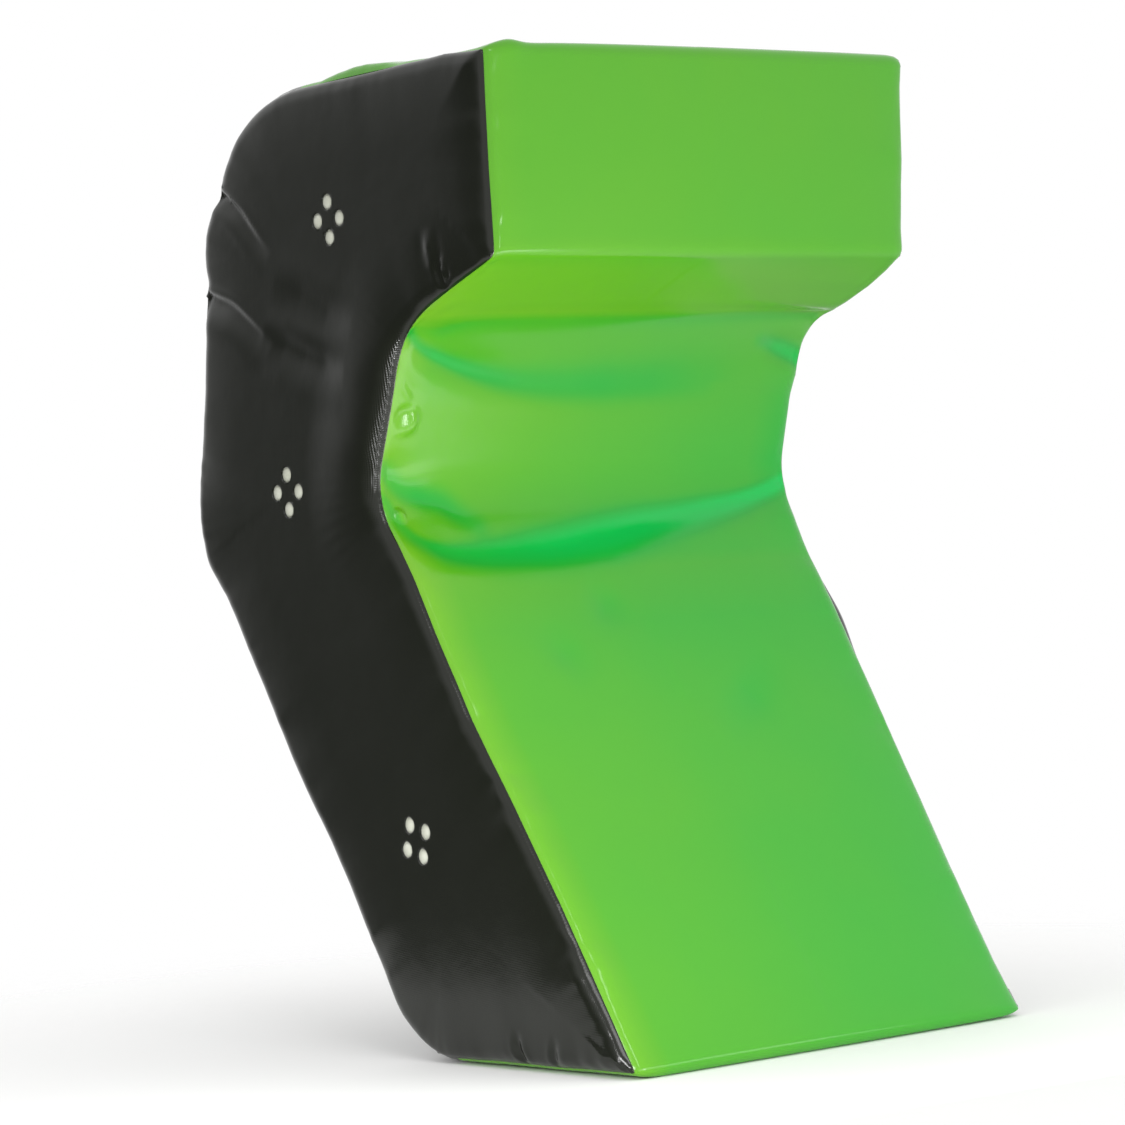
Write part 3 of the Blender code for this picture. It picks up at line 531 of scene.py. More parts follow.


# Folds of the front sheet in (across the pad, distance below the lip's corner), with how deep each one is and
# how far it reaches to either side, and how much painted shade it lays along its line, deepening the green,
# and how far above and below its line that painted shade reaches
frontFolds = {
    "waistFold": {
        "path": ((-226, 264), (-215.9, 274), (-211, 290), (-202.7, 305), (-190, 314), (-174, 320),
                 (-154, 322.5), (-130, 323), (-100, 321.5), (-65, 319), (-30, 315), (3.7, 310.5),
                 (43.7, 304.5), (92.7, 298.5), (130, 293), (160, 288), (191.8, 280), (213.1, 272.5),
                 (226, 266.5)),
        "depths": (2, 2.5, 3, 3.3, 3.6, 3.6, 3.4, 3.1, 2.8, 2.5, 2.2, 1.8),
        "left": 16, "right": 30, "lip": 0.06,
        "tone": (0.55, 0.6, 0.65, 0.78, 0.8, 0.8, 0.8, 0.78, 0.72),
        "paintedShadeAbove": (5, 6, 12, 16, 17, 15, 11, 7, 5),
        "paintedShadeBelow": (6, 13, 21, 25, 25, 21, 16, 11, 7),
    },
    "waistBranch": {
        "path": ((-226, 243), (-216.1, 249), (-201, 264), (-181.7, 271), (-163.4, 277), (-149.6, 288),
                 (-135.2, 298)),
        "depths": (2, 2.5, 2.5, 2, 1.5, 0),
        "left": 11, "right": 16, "lip": 0.04,
        "tone": (0.5, 0.6, 0.6, 0.5, 0.3),
        "paintedShadeAbove": (8, 12, 13, 12),
        "paintedShadeBelow": (7, 10, 12, 12),
    },
    "notchPinch": {
        "path": ((-221.5, 126), (-216, 134.5), (-206, 144), (-188.5, 153), (-159.5, 164), (-130.7, 172.5),
                 (-96.6, 179.5), (-44.1, 184), (40.8, 184), (110, 182)),
        "depths": (2, 2.8, 2.7, 2.4, 2, 1.6, 1, 0),
        "left": 12, "right": 18, "lip": 0.15,
        "tone": (0.62, 0.6, 0.52, 0.42, 0.38, 0.3, 0.12),
        "paintedShadeAbove": (4, 7, 12, 18, 22, 24, 24),
        "paintedShadeBelow": (3, 5, 9, 12, 14, 14, 14),
    },
    "notchLine": {
        "path": ((-224, 125), (-198.6, 129), (-165.4, 120.7), (-115.9, 117.5), (-30.7, 117.5), (57.7, 117.5),
                 (122, 114.3), (181.4, 114.3), (214.8, 114.3)),
        "depths": (2, 1.5, 1.2, 1.2, 1.2, 1.4, 1.5, 2, 2),
        "left": 18, "right": 14,
        "tone": (0.25, 0.12, 0.1, 0.12, 0.15, 0.2, 0.2),
        "paintedShadeAbove": (3, 3),
        "paintedShadeBelow": (8, 12, 12, 8),
    },
    "rightTuck": {
        "path": ((165, 144.5), (173.1, 147), (202.7, 156), (220.5, 161)),
        "depths": (0, 2.5, 3.2, 3),
        "left": 10, "right": 14,
        "tone": (0.2, 0.55, 0.6),
        "paintedShadeAbove": (8, 10),
        "paintedShadeBelow": (6, 7),
    },
    "legDentOne": {
        "path": ((-60, 368), (-40, 383), (-30, 408)),
        "depths": (0, 1.5, 0),
        "left": 22, "right": 22, "lip": 0.0,
        "tone": (0.0, 0.12, 0.0),
        "paintedShadeAbove": (20, 20),
        "paintedShadeBelow": (20, 20),
    },
    "legDentTwo": {
        "path": ((-120, 398), (-105, 421), (-85, 453)),
        "depths": (0, 1.2, 0),
        "left": 18, "right": 22, "lip": 0.0,
        "tone": (0.0, 0.1, 0.0),
        "paintedShadeAbove": (20, 20),
        "paintedShadeBelow": (20, 20),
    },
    "legDentThree": {
        "path": ((120, 438), (70, 480), (20, 508)),
        "depths": (0, 1.5, 0),
        "left": 25, "right": 30, "lip": 0.0,
        "tone": (0.0, 0.12, 0.0),
        "paintedShadeAbove": (20, 20),
        "paintedShadeBelow": (20, 20),
    },
    "glintArc": {
        "path": ((-216.3, 171), (-211.8, 180), (-202.5, 190)),
        "depths": (0, -1, -1, 0),
        "left": 2.4, "right": 2.4, "lip": 0.0,
        "tone": (0.0, 0.0),
        "paintedShadeAbove": (1, 1),
        "paintedShadeBelow": (1, 1),
    },
}

# Small flats of the front sheet that catch the lamp: across, below the lip, its reach, its slopes across
# and down, and how fast the slope across grows
glints = (
    (-0.2060, 0.2060, 0.0115, 0.320, 0.305, 32.0),
    (-0.2073, 0.2859, 0.0050, 0.130, -0.600, 0.0),
)
glintShape = {"power": 8, "calmed": 0.9}  # how steeply a flat ends, and how much of the relief it takes away
topShape = {
    "corner": (-0.2010, -0.1620),  # the lump over the brow's left end: across, below the lip
    "cornerStand": 0.0035,
    "cornerReach": 0.014,
    "from": 0.002,  # where the top starts, behind that lump
    "domeStand": 0.0050,  # slack that stands up towards the top's back, by the distance behind the face
    "dome": (0.165, 0.052),
    "dipStand": -0.0050,  # and a dip at its left, nearer the face
    "dip": (0.052, 0.030),
    "dipFromSeam": 0.080,
}

# Painted light and shade on the green across the sheet: yellower at the left seam, where the light falls,
# deeper green at the right, which is in shade. Each band has its distance below the lip, and its painted
# tones at the left seam, 40 mm in, the middle, 50 mm from the right, the right seam
paintedLightAndShadeBands = np.array((
    (-240, -0.05, 0.00, 0.00, 0.05, 0.10),
    (-150, -0.12, 0.00, 0.00, 0.06, 0.10),
    (-10, -0.15, -0.05, 0.00, 0.04, 0.08),
    (30, -0.42, -0.34, -0.20, -0.08, 0.00),
    (108, -0.55, -0.50, -0.32, -0.14, -0.02),
    (121, -0.50, 0.02, 0.14, 0.15, 0.10),
    (165, -0.45, 0.00, 0.14, 0.18, 0.25),
    (200, -0.42, -0.18, 0.07, 0.21, 0.45),
    (250, -0.42, -0.14, 0.11, 0.30, 0.60),
    (295, -0.45, -0.05, 0.24, 0.32, 0.45),
    (335, -0.48, 0.00, 0.30, 0.32, 0.38),
    (348, -0.50, -0.12, 0.18, 0.26, 0.34),
    (400, -0.40, 0.04, 0.32, 0.38, 0.44),
    (480, -0.37, 0.08, 0.25, 0.34, 0.40),
    (560, -0.34, 0.04, 0.21, 0.32, 0.36),
    (780, -0.34, 0.08, 0.25, 0.32, 0.36),
))
paintedLightAndShadeStops = np.array((-225, -185, 0, 175, 225)) * mm
# how steeply a fold's painted shade ends
foldPaintedShadePower = 2.4  # how steeply a fold's own tone ends
skins = {}  # each panel's finished surface, from which the foam under it takes its own


def frontPaintedLightAndShade(across, below, points):
    # the green's painted light and shade at each place: 0 yellowest and most lit, 0.5 as on the flat face, 1
    # deepest green and most shaded
    tones = np.zeros(across.shape)
    levels = [np.interp(below, paintedLightAndShadeBands[:, 0] * mm, paintedLightAndShadeBands[:, k + 1]) for k in range(len(paintedLightAndShadeStops))]
    for column in range(across.shape[1]):
        spot = float(across[len(across) // 2, column])
        k = min(len(paintedLightAndShadeStops) - 2, max(0, int(np.searchsorted(paintedLightAndShadeStops, spot)) - 1))
        share = np.clip((spot - paintedLightAndShadeStops[k]) / (paintedLightAndShadeStops[k + 1] - paintedLightAndShadeStops[k]), 0, 1)
        tones[:, column] = levels[k] * (1 - share) + levels[k + 1] * share
    for fold in frontFolds.values():
        distance, side, valueOf = nearFold(points, fold)
        reach = np.where(side > 0, valueOf("paintedShadeBelow"), valueOf("paintedShadeAbove")) * mm
        tones += (valueOf("tone") * hump(distance, 0, reach, foldPaintedShadePower)).reshape(across.shape)
    return np.clip(0.5 + tones / 2, 0, 1)


def topRelief(points, places, inFromSeam):
    # the lump over the brow, the slack behind it and the dip between
    fromCorner = np.linalg.norm(points - topShape["corner"], axis=1).reshape(inFromSeam.shape)
    relief = topShape["cornerStand"] * hump(fromCorner, 0, topShape["cornerReach"])
    below = points[:, 1].reshape(inFromSeam.shape)
    behind = places[:, :, 1]
    middle, reach = topShape["dome"]
    rise = topShape["domeStand"] * np.clip(1 - ((behind - middle) / reach) ** 2, 0, 1)
    dip = topShape["dipStand"] * hump(behind, *topShape["dip"]) * hump(inFromSeam, 0, topShape["dipFromSeam"])
    onTop = below < topShape["corner"][1] - topShape["from"]
    return relief + onTop * (rise + dip * (places[:, :, 0] < 0))


def makeStrikeCover():
    shares = columnShares(panels["seamCells"])
    places, marks, inFromSeam = wrapPlaces(frontNames, shares)
    flat = np.stack((places[:, :, 0], np.repeat(marks[:, None] - lipMark, len(shares), 1)), 2)
    normals = gridNormals(places, -1)
    points = flat.reshape(-1, 2)
    relief = foldRelief(points, frontFolds).reshape(inFromSeam.shape) + topRelief(points, places, inFromSeam)
    for side, half in ((-1, shares <= 0), (1, shares > 0)):
        relief[:, half] += gatherRelief(side, marks[:, None], inFromSeam[:, half])
    for across, down, reach, slopeAcross, slopeDown, growth in glints:
        right, under = flat[:, :, 0] - across, flat[:, :, 1] - down
        within = hump(np.hypot(right, under), 0, reach, glintShape["power"])
        relief *= 1 - glintShape["calmed"] * within
        relief += within * (slopeAcross * right + slopeDown * under + growth * right**2 / 2)
    relief *= smoothStep(inFromSeam, *panels["seamBlend"])
    relief *= smoothStep(places[:, :, 2], *panels["floorBlend"])
    skins["front"] = (places.copy(), normals, relief)
    places += normals * relief[:, :, None]
    # the tone at each point is painted light and shade
    bm = gridMesh(places, flat, frontPaintedLightAndShade(places[:, :, 0], marks - lipMark, points))
    low, high = panels["judgedBy"]
    faceOutwards(bm, lambda place: Vector((0, -1 if low < place.z < high and place.y < 0 else 0, 0)))
    return toObject(bm, "strikeCover", greenSheet)


strikeCover = makeStrikeCover()
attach(strikeCover, "pad")
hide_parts("strike_cover")
print("strike cover made")

# Side panels

hands = (("left", -1), ("right", 1))
vents = {
    "radius": 0.0065,
    "spread": 0.0145,
    "clusters": ((0.204, 0.685, 0.0), (0.286, 0.467, 0.0), (0.147, 0.180, -0.53)),  # depth, height and turn
    "finerBy": 0.0065,  # how far round a hole the faces are made finer
    "drawnOnto": 0.00075,  # how near its rim a point is drawn onto it
    "insideShare": 0.985,
    "rimShare": 1.15,
    "turnIn": 0.0012,
}
sideShape = {
    # where the notch and the head's face are felt, below the lip: middle, reach, and how steeply that ends
    "notch": (0.203, 0.075, 4),
    "face": (-0.082, 0.075, 6),
    # how far in from the seam the sheet has turned over, and how much farther at these two
    "edge": (0.012, 0.010, 0.022),
    "plateau": 0.064,
    "notchStand": 0.0045,
    "notchRise": (-0.006, 0.015),
    "notchFall": (0.090, 0.020),
    "drawnReach": 0.015,
}
# The right panel hardly shows past the front seam, but for two slivers along the leg
rightShape = {
    "frontTo": 0.77,  # how far below the lip the front seam goes
    "slope": 0.70,
    "slivers": ((0.408, 0.040, 1.0), (0.300, 0.012, 0.25)),  # below the lip, reach, and share of the stand
    "stand": 0.0062,
    "rise": 0.006,
    "fall": (0.045, 0.012),
}

# Creases of the side sheet in (depth, height)
sideCreases = {
    "topCrease": {
        "path": ((357, 721), (346.2, 715.7), (327.7, 703), (312.7, 687.3), (300.2, 674.5), (287.4, 664.2)),
        "depths": (4.5, 4, 2.5, 1.5, 0),
        "left": 10, "right": 3.5,
    },
    "bendCrease": {
        "path": ((382.8, 636.6), (370.1, 633), (348, 625.3), (329.4, 613.7), (312.5, 601.5), (294.3, 589.3)),
        "depths": (5, 4.5, 3.5, 2.5, 1.5, 0),
        "left": 14, "right": 4.5,
    },
    "bendValley": {
        "path": ((304.3, 599.2), (277.7, 588.1), (248.7, 576), (219.8, 566.6), (194.8, 561.5)),
        "depths": (0, 2, 2.5, 2, 0),
        "left": 16, "right": 12,
    },
    "slack": {
        "path": ((284.9, 640), (250.6, 625.5), (215.7, 609.5), (180.8, 597.8)),
        "depths": (0, 1.4, 1.6, 0),
        "left": 18, "right": 14,
    },
    "pocketOne": {
        "path": ((65.3, 646.9), (68.9, 637.8), (68.4, 626.7), (65.9, 615.5)),
        "depths": (0, 3, 4, 3),
        "left": 3.2, "right": 3.6,
    },
    "pocketTwo": {
        "path": ((60.1, 637), (59.2, 629.1), (62.2, 619.9)),
        "depths": (0, 2.5, 2),
        "left": 2.6, "right": 2.6,
    },
    "pocketRidge": {
        "path": ((77, 665.4), (76.1, 651.9), (75.2, 638.4)),
        "depths": (0, -2, -1),
        "left": 6, "right": 6,
    },
    "footPuckerOne": {
        "path": ((35.9, 32.8), (39.3, 20.3), (35.9, 7.9)),
        "depths": (0, 2.5, 3),
        "left": 4, "right": 4.5,
    },
    "footPuckerTwo": {
        "path": ((-9.5, 29.8), (-4.5, 18.7), (-1.4, 7.6)),
        "depths": (0, 2, 2.5),
        "left": 3, "right": 6,
    },
    "toeGatherOne": {
        "path": ((-88.2, 23.2), (-92.9, 13.5), (-96.3, 2.2)),
        "depths": (0, 3, 3),
        "left": 2.4, "right": 2.4,
    },
    "toeGatherTwo": {
        "path": ((-79.3, 16.6), (-85.3, 7.7), (-87.9, 0.2)),
        "depths": (0, 3, 2),
        "left": 2.2, "right": 2.2,
    },
}


def coonsPatch(side):
    # the side view's inside as a grid, its four edges on the seam's own rows
    def edge(*names):
        rows = stretchSlice(*names)
        return seamLoop[rows] + seamMove(seamMarks[rows], side)

    front, back, bottom = edge("front"), edge("back")[::-1], edge("footFront", "footBack")
    top = np.vstack((edge("topRear"), edge("topFront")[1:]))[::-1]
    down = np.linspace(0, 1, len(front))[:, None, None]
    over = np.linspace(0, 1, len(top))[None, :, None]
    ruled = (1 - over) * front[:, None] + over * back[:, None] + (1 - down) * top[None] + down * bottom[None]
    ruled -= (1 - down) * ((1 - over) * front[0] + over * back[0])
    return ruled - down * ((1 - over) * front[-1] + over * back[-1])


def makeSidePanel(name, side):
    flat = coonsPatch(side)
    points = flat.reshape(-1, 2)
    rim = seamLoop + seamMove(seamMarks, side)
    distance, _, along = pathDistance(points, rim[::2])
    marks = along * seamMarks[-1]
    below = marks - lipMark
    inNotch = hump(below, *sideShape["notch"])
    edge, farInNotch, farAtFace = sideShape["edge"]
    edge = edge + farInNotch * inNotch + farAtFace * hump(below, *sideShape["face"])
    crown = (quarterRound(distance / edge) + quarterRound(distance / sideShape["plateau"])) / 2
    stand = wedge["sideCrown"] * crown
    rise = smoothStep(distance, *sideShape["notchRise"]) * smoothStep(distance, *sideShape["notchFall"])
    stand += sideShape["notchStand"] * inNotch * rise
    relief = foldRelief(points, sideCreases) + gatherRelief(side, marks, distance)
    stand += relief * smoothStep(distance, *panels["seamBlend"])
    if side > 0:
        flatter = np.minimum(stand, rightShape["slope"] * distance)
        stand = np.where(below < rightShape["frontTo"], flatter, stand)
        sliver = sum(share * hump(below, middle, reach) for middle, reach, share in rightShape["slivers"])
        rise = quarterRound(distance / rightShape["rise"]) * smoothStep(distance, *rightShape["fall"])
        stand += rightShape["stand"] * sliver * rise
    out = side * (halfWidth(points[:, 1]) + stand)
    places = np.stack((out, points[:, 0], points[:, 1]), 1).reshape(*flat.shape[:2], 3)
    skins[side] = (stand.reshape(flat.shape[:2]), flat)
    tightness = inNotch * hump(distance, 0, sideShape["drawnReach"], 4)
    bm = gridMesh(places, flat, tightness.reshape(flat.shape[:2]))
    faceOutwards(bm, lambda place: Vector((side, 0, 0)))
    punchVents(bm, side)
    return toObject(bm, name, blackSheet)


def ventCentres():
    centres = []
    for depth, height, turn in vents["clusters"]:
        for quarter in range(4):
            angle = turn + quarter * math.pi / 2
            across, up = vents["spread"] * math.cos(angle), vents["spread"] * math.sin(angle)
            centres.append((depth + across, height + up))
    return centres


def punchVents(bm, side):
    # cuts each hole in finer faces, then turns its rim in by the sheet's thickness
    radius = vents["radius"]
    for depth, height in ventCentres():
        def away(place):
            return math.hypot(place.y - depth, place.z - height)

        def farEnd(edge):
            return max(away(vert.co) for vert in edge.verts)

        near = [edge for edge in bm.edges if farEnd(edge) < radius + vents["finerBy"]]
        bmesh.ops.subdivide_edges(bm, edges=near, cuts=2, use_grid_fill=True)
        for vert in bm.verts:
            distance = away(vert.co)
            if abs(distance - radius) < vents["drawnOnto"]:
                vert.co.y = depth + (vert.co.y - depth) * radius / distance
                vert.co.z = height + (vert.co.z - height) * radius / distance
        within = radius * vents["insideShare"]
        inside = [face for face in bm.faces if away(face.calc_center_median()) < within]
        bmesh.ops.delete(bm, geom=inside, context="FACES")
        rim = [edge for edge in bm.edges if edge.is_boundary and farEnd(edge) < radius * vents["rimShare"]]
        turned = bmesh.ops.extrude_edge_only(bm, edges=rim)
        lower = [vert for vert in turned["geom"] if isinstance(vert, bmesh.types.BMVert)]
        bmesh.ops.translate(bm, vec=(-side * vents["turnIn"], 0, 0), verts=lower)


for hand, side in hands:
    sidePanel = makeSidePanel(hand + "SidePanel", side)
    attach(sidePanel, "pad")
    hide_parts(hand + "_side_panel")
print("side panels made")

# The back: distances run up it from the heel's seam, lifts stand out from the cover

middleRing = sideOutline(runMoves(0))
backRows = rowsAlong(middleRing, backNames)
backMarks = marksAlong(backRows)
backRun = np.gradient(backRows, axis=0)
backRun /= np.linalg.norm(backRun, axis=1)[:, None]
sideways = Vector((1, 0, 0))


def backMark(name, part):
    # how far up the back a corner's arc starts or ends
    return float(marksAlong(middleRing[cornerIndex("heel", "start") : cornerIndex(name, part) + 1])[-1])


def backAxes(distance):
    run = Vector([float(np.interp(distance, backMarks, backRun[:, k])) for k in (0, 1)]).normalized()
    return Vector((0, run.x, run.y)), Vector((0, run.y, -run.x))


def backPlace(x, distance, lift):
    y, z = (float(np.interp(distance, backMarks, backRows[:, k])) for k in (0, 1))
    crown = crownShare(min(1.0, abs(x) / halfWidth(z)), crownShape["back"])
    return Vector((x, y, z)) + backAxes(distance)[1] * (corners["bend"][3] * (crown - 1) + lift)


zipSizes = {
    "fromHeel": backMark("heel", "end") + 0.040,
    "toTop": backMark("topBack", "start") - 0.012,
    "inner": 0.0043,
    "width": 0.014,
    "lift": 0.0003,
    "thickness": 0.0008,
    "rows": 360,
    "columns": 11,
    "stitchRows": (0.0105, 0.0163),
    "stitchesIn": 0.002,
    "stitchPitch": 0.0030,
    "stitchPoints": 240,
}

# Back panels

backShape = {
    "columns": 74,
    "halfWidth": 0.22,
    "bendStand": 0.0085,  # slack that stands up beside each seam at the bend, between these heights
    "bendFrom": (0.400, 0.455),
    "bendTo": (0.540, 0.495),
    "bendRise": 0.012,
    "bendFall": (0.080, 0.012),
}
zipSlot = {
    "halfWidth": 0.007,
    "meet": 0.00015,
    "inFromEnds": 0.005,
    "eased": 0.030,
    "seamDent": 0.0010,
    "seamReach": 0.0025,
}


def makeBackPanel(name, side):
    shares = side * np.linspace(zipSlot["halfWidth"] / backShape["halfWidth"], 1, backShape["columns"])
    places, marks, inFromSeam = wrapPlaces(backNames, shares)
    above = backMarks > zipSizes["toTop"] - zipSlot["inFromEnds"]
    below = backMarks < zipSizes["fromHeel"] + zipSlot["inFromEnds"]
    closed = (above | below)[:, None]
    ease = np.clip(1 - (np.abs(places[:, :, 0]) - zipSlot["halfWidth"]) / zipSlot["eased"], 0, 1)
    places[:, :, 0] -= closed * side * (zipSlot["halfWidth"] - zipSlot["meet"]) * ease
    flat = np.stack((places[:, :, 0], np.repeat(marks[:, None], len(shares), 1)), 2)
    normals = gridNormals(places, 1)
    relief = gatherRelief(side, marks[:, None], inFromSeam) * smoothStep(inFromSeam, *panels["seamBlend"])
    height = places[:, :, 2]
    atBend = smoothStep(height, *backShape["bendFrom"]) * smoothStep(height, *backShape["bendTo"])
    rise = quarterRound(inFromSeam / backShape["bendRise"]) * smoothStep(inFromSeam, *backShape["bendFall"])
    relief += backShape["bendStand"] * atBend * rise
    relief -= closed * zipSlot["seamDent"] * hump(places[:, :, 0], 0, zipSlot["seamReach"])
    places += normals * relief[:, :, None]
    bm = gridMesh(places, flat)
    faceOutwards(bm, lambda place: Vector((0, 1, 0)))
    return toObject(bm, name, blackSheet)


for hand, side in hands:
    backPanel = makeBackPanel(hand + "BackPanel", side)
    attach(backPanel, "pad")
    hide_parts(hand + "_back_panel")
print("back panels made")

# Foam blocks: they fill the cover to just under its sheets, and bulge a little through each vent

foamSizes = {
    "under": 0.0014,
    "underBack": 0.0030,
    "bulge": 0.0024,
    "bulgeSunk": 0.0016,  # how deep a bulge's middle lies in the foam
    "bulgeRadius": 0.0063,
    "mitreGap": 0.0003,
    "headFrom": 0.36,  # vents above this height are the head's
    "weld": 0.00003,
    "rowStep": 4,
    "columnStep": 3,
}


def lowestNear(stands, reach):
    # the least stand within some cells of each point, so that a coarse foam stays under the finer sheet
    padded = np.pad(stands, reach, mode="edge")
    rows, columns = stands.shape
    shifts = [(i, j) for i in range(2 * reach + 1) for j in range(2 * reach + 1)]
    return np.min([padded[i : i + rows, j : j + columns] for i, j in shifts], axis=0)


def foamRim(side):
    # the foam's own edge inside the seam, by the seam's rows
    seam = seamLoop + seamMove(seamMarks, side) - seamNormals * foamSizes["under"]
    return np.stack((side * (halfWidth(seam[:, 1]) - foamSizes["under"]), seam[:, 0], seam[:, 1]), 1)


def foamWrap():
    # the foam's surface under the front and back panels, once round, its rows in step with the sides' own
    front, frontNormals, relief = skins["front"]
    front = front + frontNormals * (lowestNear(relief, foamSizes["rowStep"]) - foamSizes["under"])[:, :, None]
    back = wrapPlaces(backNames, columnShares(panels["seamCells"]))[0]
    back -= gridNormals(back, 1) * foamSizes["underBack"]
    under = np.concatenate((front, back[1:]))[:-1]
    under[:, 0], under[:, -1] = foamRim(-1)[:-1], foamRim(1)[:-1]
    start = stretches["topFront"][2] % foamSizes["rowStep"]
    under = under[start :: foamSizes["rowStep"], :: foamSizes["columnStep"]]
    return np.concatenate((under, under[:1]))


def foamSide(side):
    # the foam's surface under a side panel, with its edges on the same rim
    stand, flat = skins[side]
    low = lowestNear(stand, foamSizes["rowStep"]) - foamSizes["under"]
    under = np.stack((side * (halfWidth(flat[:, :, 1]) + low), flat[:, :, 0], flat[:, :, 1]), 2)
    rim = foamRim(side)
    start, end = stretches["topFront"][2], stretches["topFront"][2] + stretches["front"][2]
    rows, columns = under.shape[:2]
    under[:, 0] = rim[start : end + 1]
    under[-1] = rim[end : end + columns]
    under[:, -1] = rim[end + columns - 1 : end + columns - 1 + rows][::-1]
    under[0] = rim[:-1][(start - np.arange(columns)) % (len(rim) - 1)]
    return under[:: foamSizes["rowStep"], :: foamSizes["rowStep"]]


def makeFoam(name, upper):
    bm = bmesh.new()
    for under in (foamWrap(), foamSide(-1), foamSide(1)):
        part = gridMesh(under, under[:, :, :2])
        mesh = bpy.data.meshes.new("foamSkin")
        part.to_mesh(mesh)
        part.free()
        bm.from_mesh(mesh)
        bpy.data.meshes.remove(mesh)
    bmesh.ops.remove_doubles(bm, verts=bm.verts, dist=foamSizes["weld"])
    waist, bend = (Vector(corners[corner][:2]) for corner in ("waist", "bend"))
    run = (bend - waist).normalized()
    up = Vector((0, -run.y, run.x)) * (1 if upper else -1)
    start = Vector((0, *waist)) + up * foamSizes["mitreGap"]
    everything = bm.verts[:] + bm.edges[:] + bm.faces[:]
    bmesh.ops.bisect_plane(bm, geom=everything, plane_co=start, plane_no=-up, clear_outer=True)
    bmesh.ops.holes_fill(bm, edges=[edge for edge in bm.edges if edge.is_boundary], sides=0)
    bmesh.ops.recalc_face_normals(bm, faces=bm.faces)
    sunk, radius = foamSizes["bulgeSunk"], foamSizes["bulgeRadius"]
    squashed = Matrix.Diagonal((foamSizes["bulge"] + sunk, radius, radius, 1))
    stand = wedge["sideCrown"] - foamSizes["under"] - sunk
    for side in (-1, 1):
        for depth, height in ventCentres():
            if (height > foamSizes["headFrom"]) == upper:
                place = Matrix.Translation((side * (halfWidth(height) + stand), depth, height))
                bmesh.ops.create_uvsphere(bm, u_segments=24, v_segments=12, radius=1, matrix=place @ squashed)
    return toObject(bm, name, foamMaterial)


for name, node, upper in (("headFoam", "head_foam", True), ("legFoam", "leg_foam", False)):
    foam = makeFoam(name, upper)
    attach(foam, "pad")
    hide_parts(node)
print("foam made")

# Narrow goods: ribbons, stitches and woven cloth

stitchSizes = {"length": 0.0021, "radius": 0.00032}
bandEdge = 0.28  # how much of a band's thickness its edges are rounded by


def ribbon(name, spine, width, columns, thickness, material):
    # a flat band: each row of its spine is (place, out, distance along it)
    across = np.linspace(-width / 2, width / 2, columns)
    places = np.array([[place + sideways * x for x in across] for place, _, _ in spine])
    flat = np.array([[(x, mark) for x in across] for _, _, mark in spine])
    bm = gridMesh(places, flat)
    faceOutwards(bm, lambda place: spine[len(spine) // 2][1])
    band = toObject(bm, name, material)
    wall = band.modifiers.new("wall", "SOLIDIFY")
    wall.thickness = thickness
    wall.offset = 1
    rounded = band.modifiers.new("edges", "BEVEL")
    rounded.width = thickness * bandEdge
    rounded.segments = 2
    rounded.limit_method = "ANGLE"
    return band


def stitches(name, lines, pitch):
    # a row of short thread loops along each line of (place, out) points, half sunk in the cloth
    bm = bmesh.new()
    size = Matrix.Diagonal((stitchSizes["length"] / 2, stitchSizes["radius"], stitchSizes["radius"], 1))
    for line in lines:
        places = [place for place, _ in line]
        marks = marksAlong(np.array(places))
        count = max(1, round(marks[-1] / pitch))
        for mark in (np.arange(count) + 0.5) * marks[-1] / count:
            k = int(np.searchsorted(marks, mark, side="right")) - 1
            share = float((mark - marks[k]) / (marks[k + 1] - marks[k]))
            along = (places[k + 1] - places[k]).normalized()
            out = line[k][1]
            turn = Matrix((along, out.cross(along).normalized(), out)).transposed().to_4x4()
            centre = Matrix.Translation(places[k].lerp(places[k + 1], share))
            bmesh.ops.create_icosphere(bm, subdivisions=1, radius=1, matrix=centre @ turn @ size)
    return toObject(bm, name, threadMaterial)


def wovenCloth(name, dark, light, pitch, roughness, twill=False):
    # woven yarn: rounded threads that catch the light along their tops, matt between them; the tops are
    # painted lighter, a painted highlight, and the gaps between them darker, painted shade
    material, shader = newMaterial(name)
    flat = addNode(material, "UVMap", {"uv_map": "cloth"})
    warp, weft = (addNode(material, "SeparateXYZ", output=axis, Vector=flat) for axis in ("X", "Y"))
    if twill:
        weft = addNode(material, "Math", {"operation": "ADD"}, i0=warp, i1=weft)
    height = addNode(material, "MapRange", Value=threadWeave(material, (warp, weft), pitch), From_Min=-1.0)
    # painted highlight on the threads' tops, painted shade in the gaps between them
    tint = addNode(material, "ValToRGB", {"stops": ((0.15, dark), (0.85, light))}, Fac=height)
    bump = addNode(material, "Bump", Height=height, Strength=0.8, Distance=pitch * 0.16)
    place = addNode(material, "TexCoord", output="Object")
    fuzz = addNode(material, "TexNoise", Vector=place, Scale=2500.0)
    bump = addNode(material, "Bump", Height=fuzz, Strength=0.25, Distance=0.0001, Normal=bump)
    setInputs(material, shader, Base_Color=tint, Roughness=roughness, Normal=bump, Sheen_Weight=0.15)
    return material


webbingMaterial = wovenCloth("black polypropylene webbing, flat woven", "#0B0B0C", "#26262A", 0.0022, 0.62,
                             twill=True)
tapeMaterial = wovenCloth("black polyester zip tape, woven", "#0A0A0B", "#202024", 0.0009, 0.80)
patchMaterial = wovenCloth("black nylon patch cloth, plain weave", "#0C0C0D", "#242427", 0.0014, 0.70)


def spunThread():
    # bonded polyester thread: twisted, with a dull shine along the top of each loop
    material, shader = newMaterial("black bonded polyester thread")
    setInputs(material, shader, Base_Color=colour("#2A2A2C"), Roughness=0.45, Sheen_Weight=0.2)
    return material


threadMaterial = spunThread()

# Zip


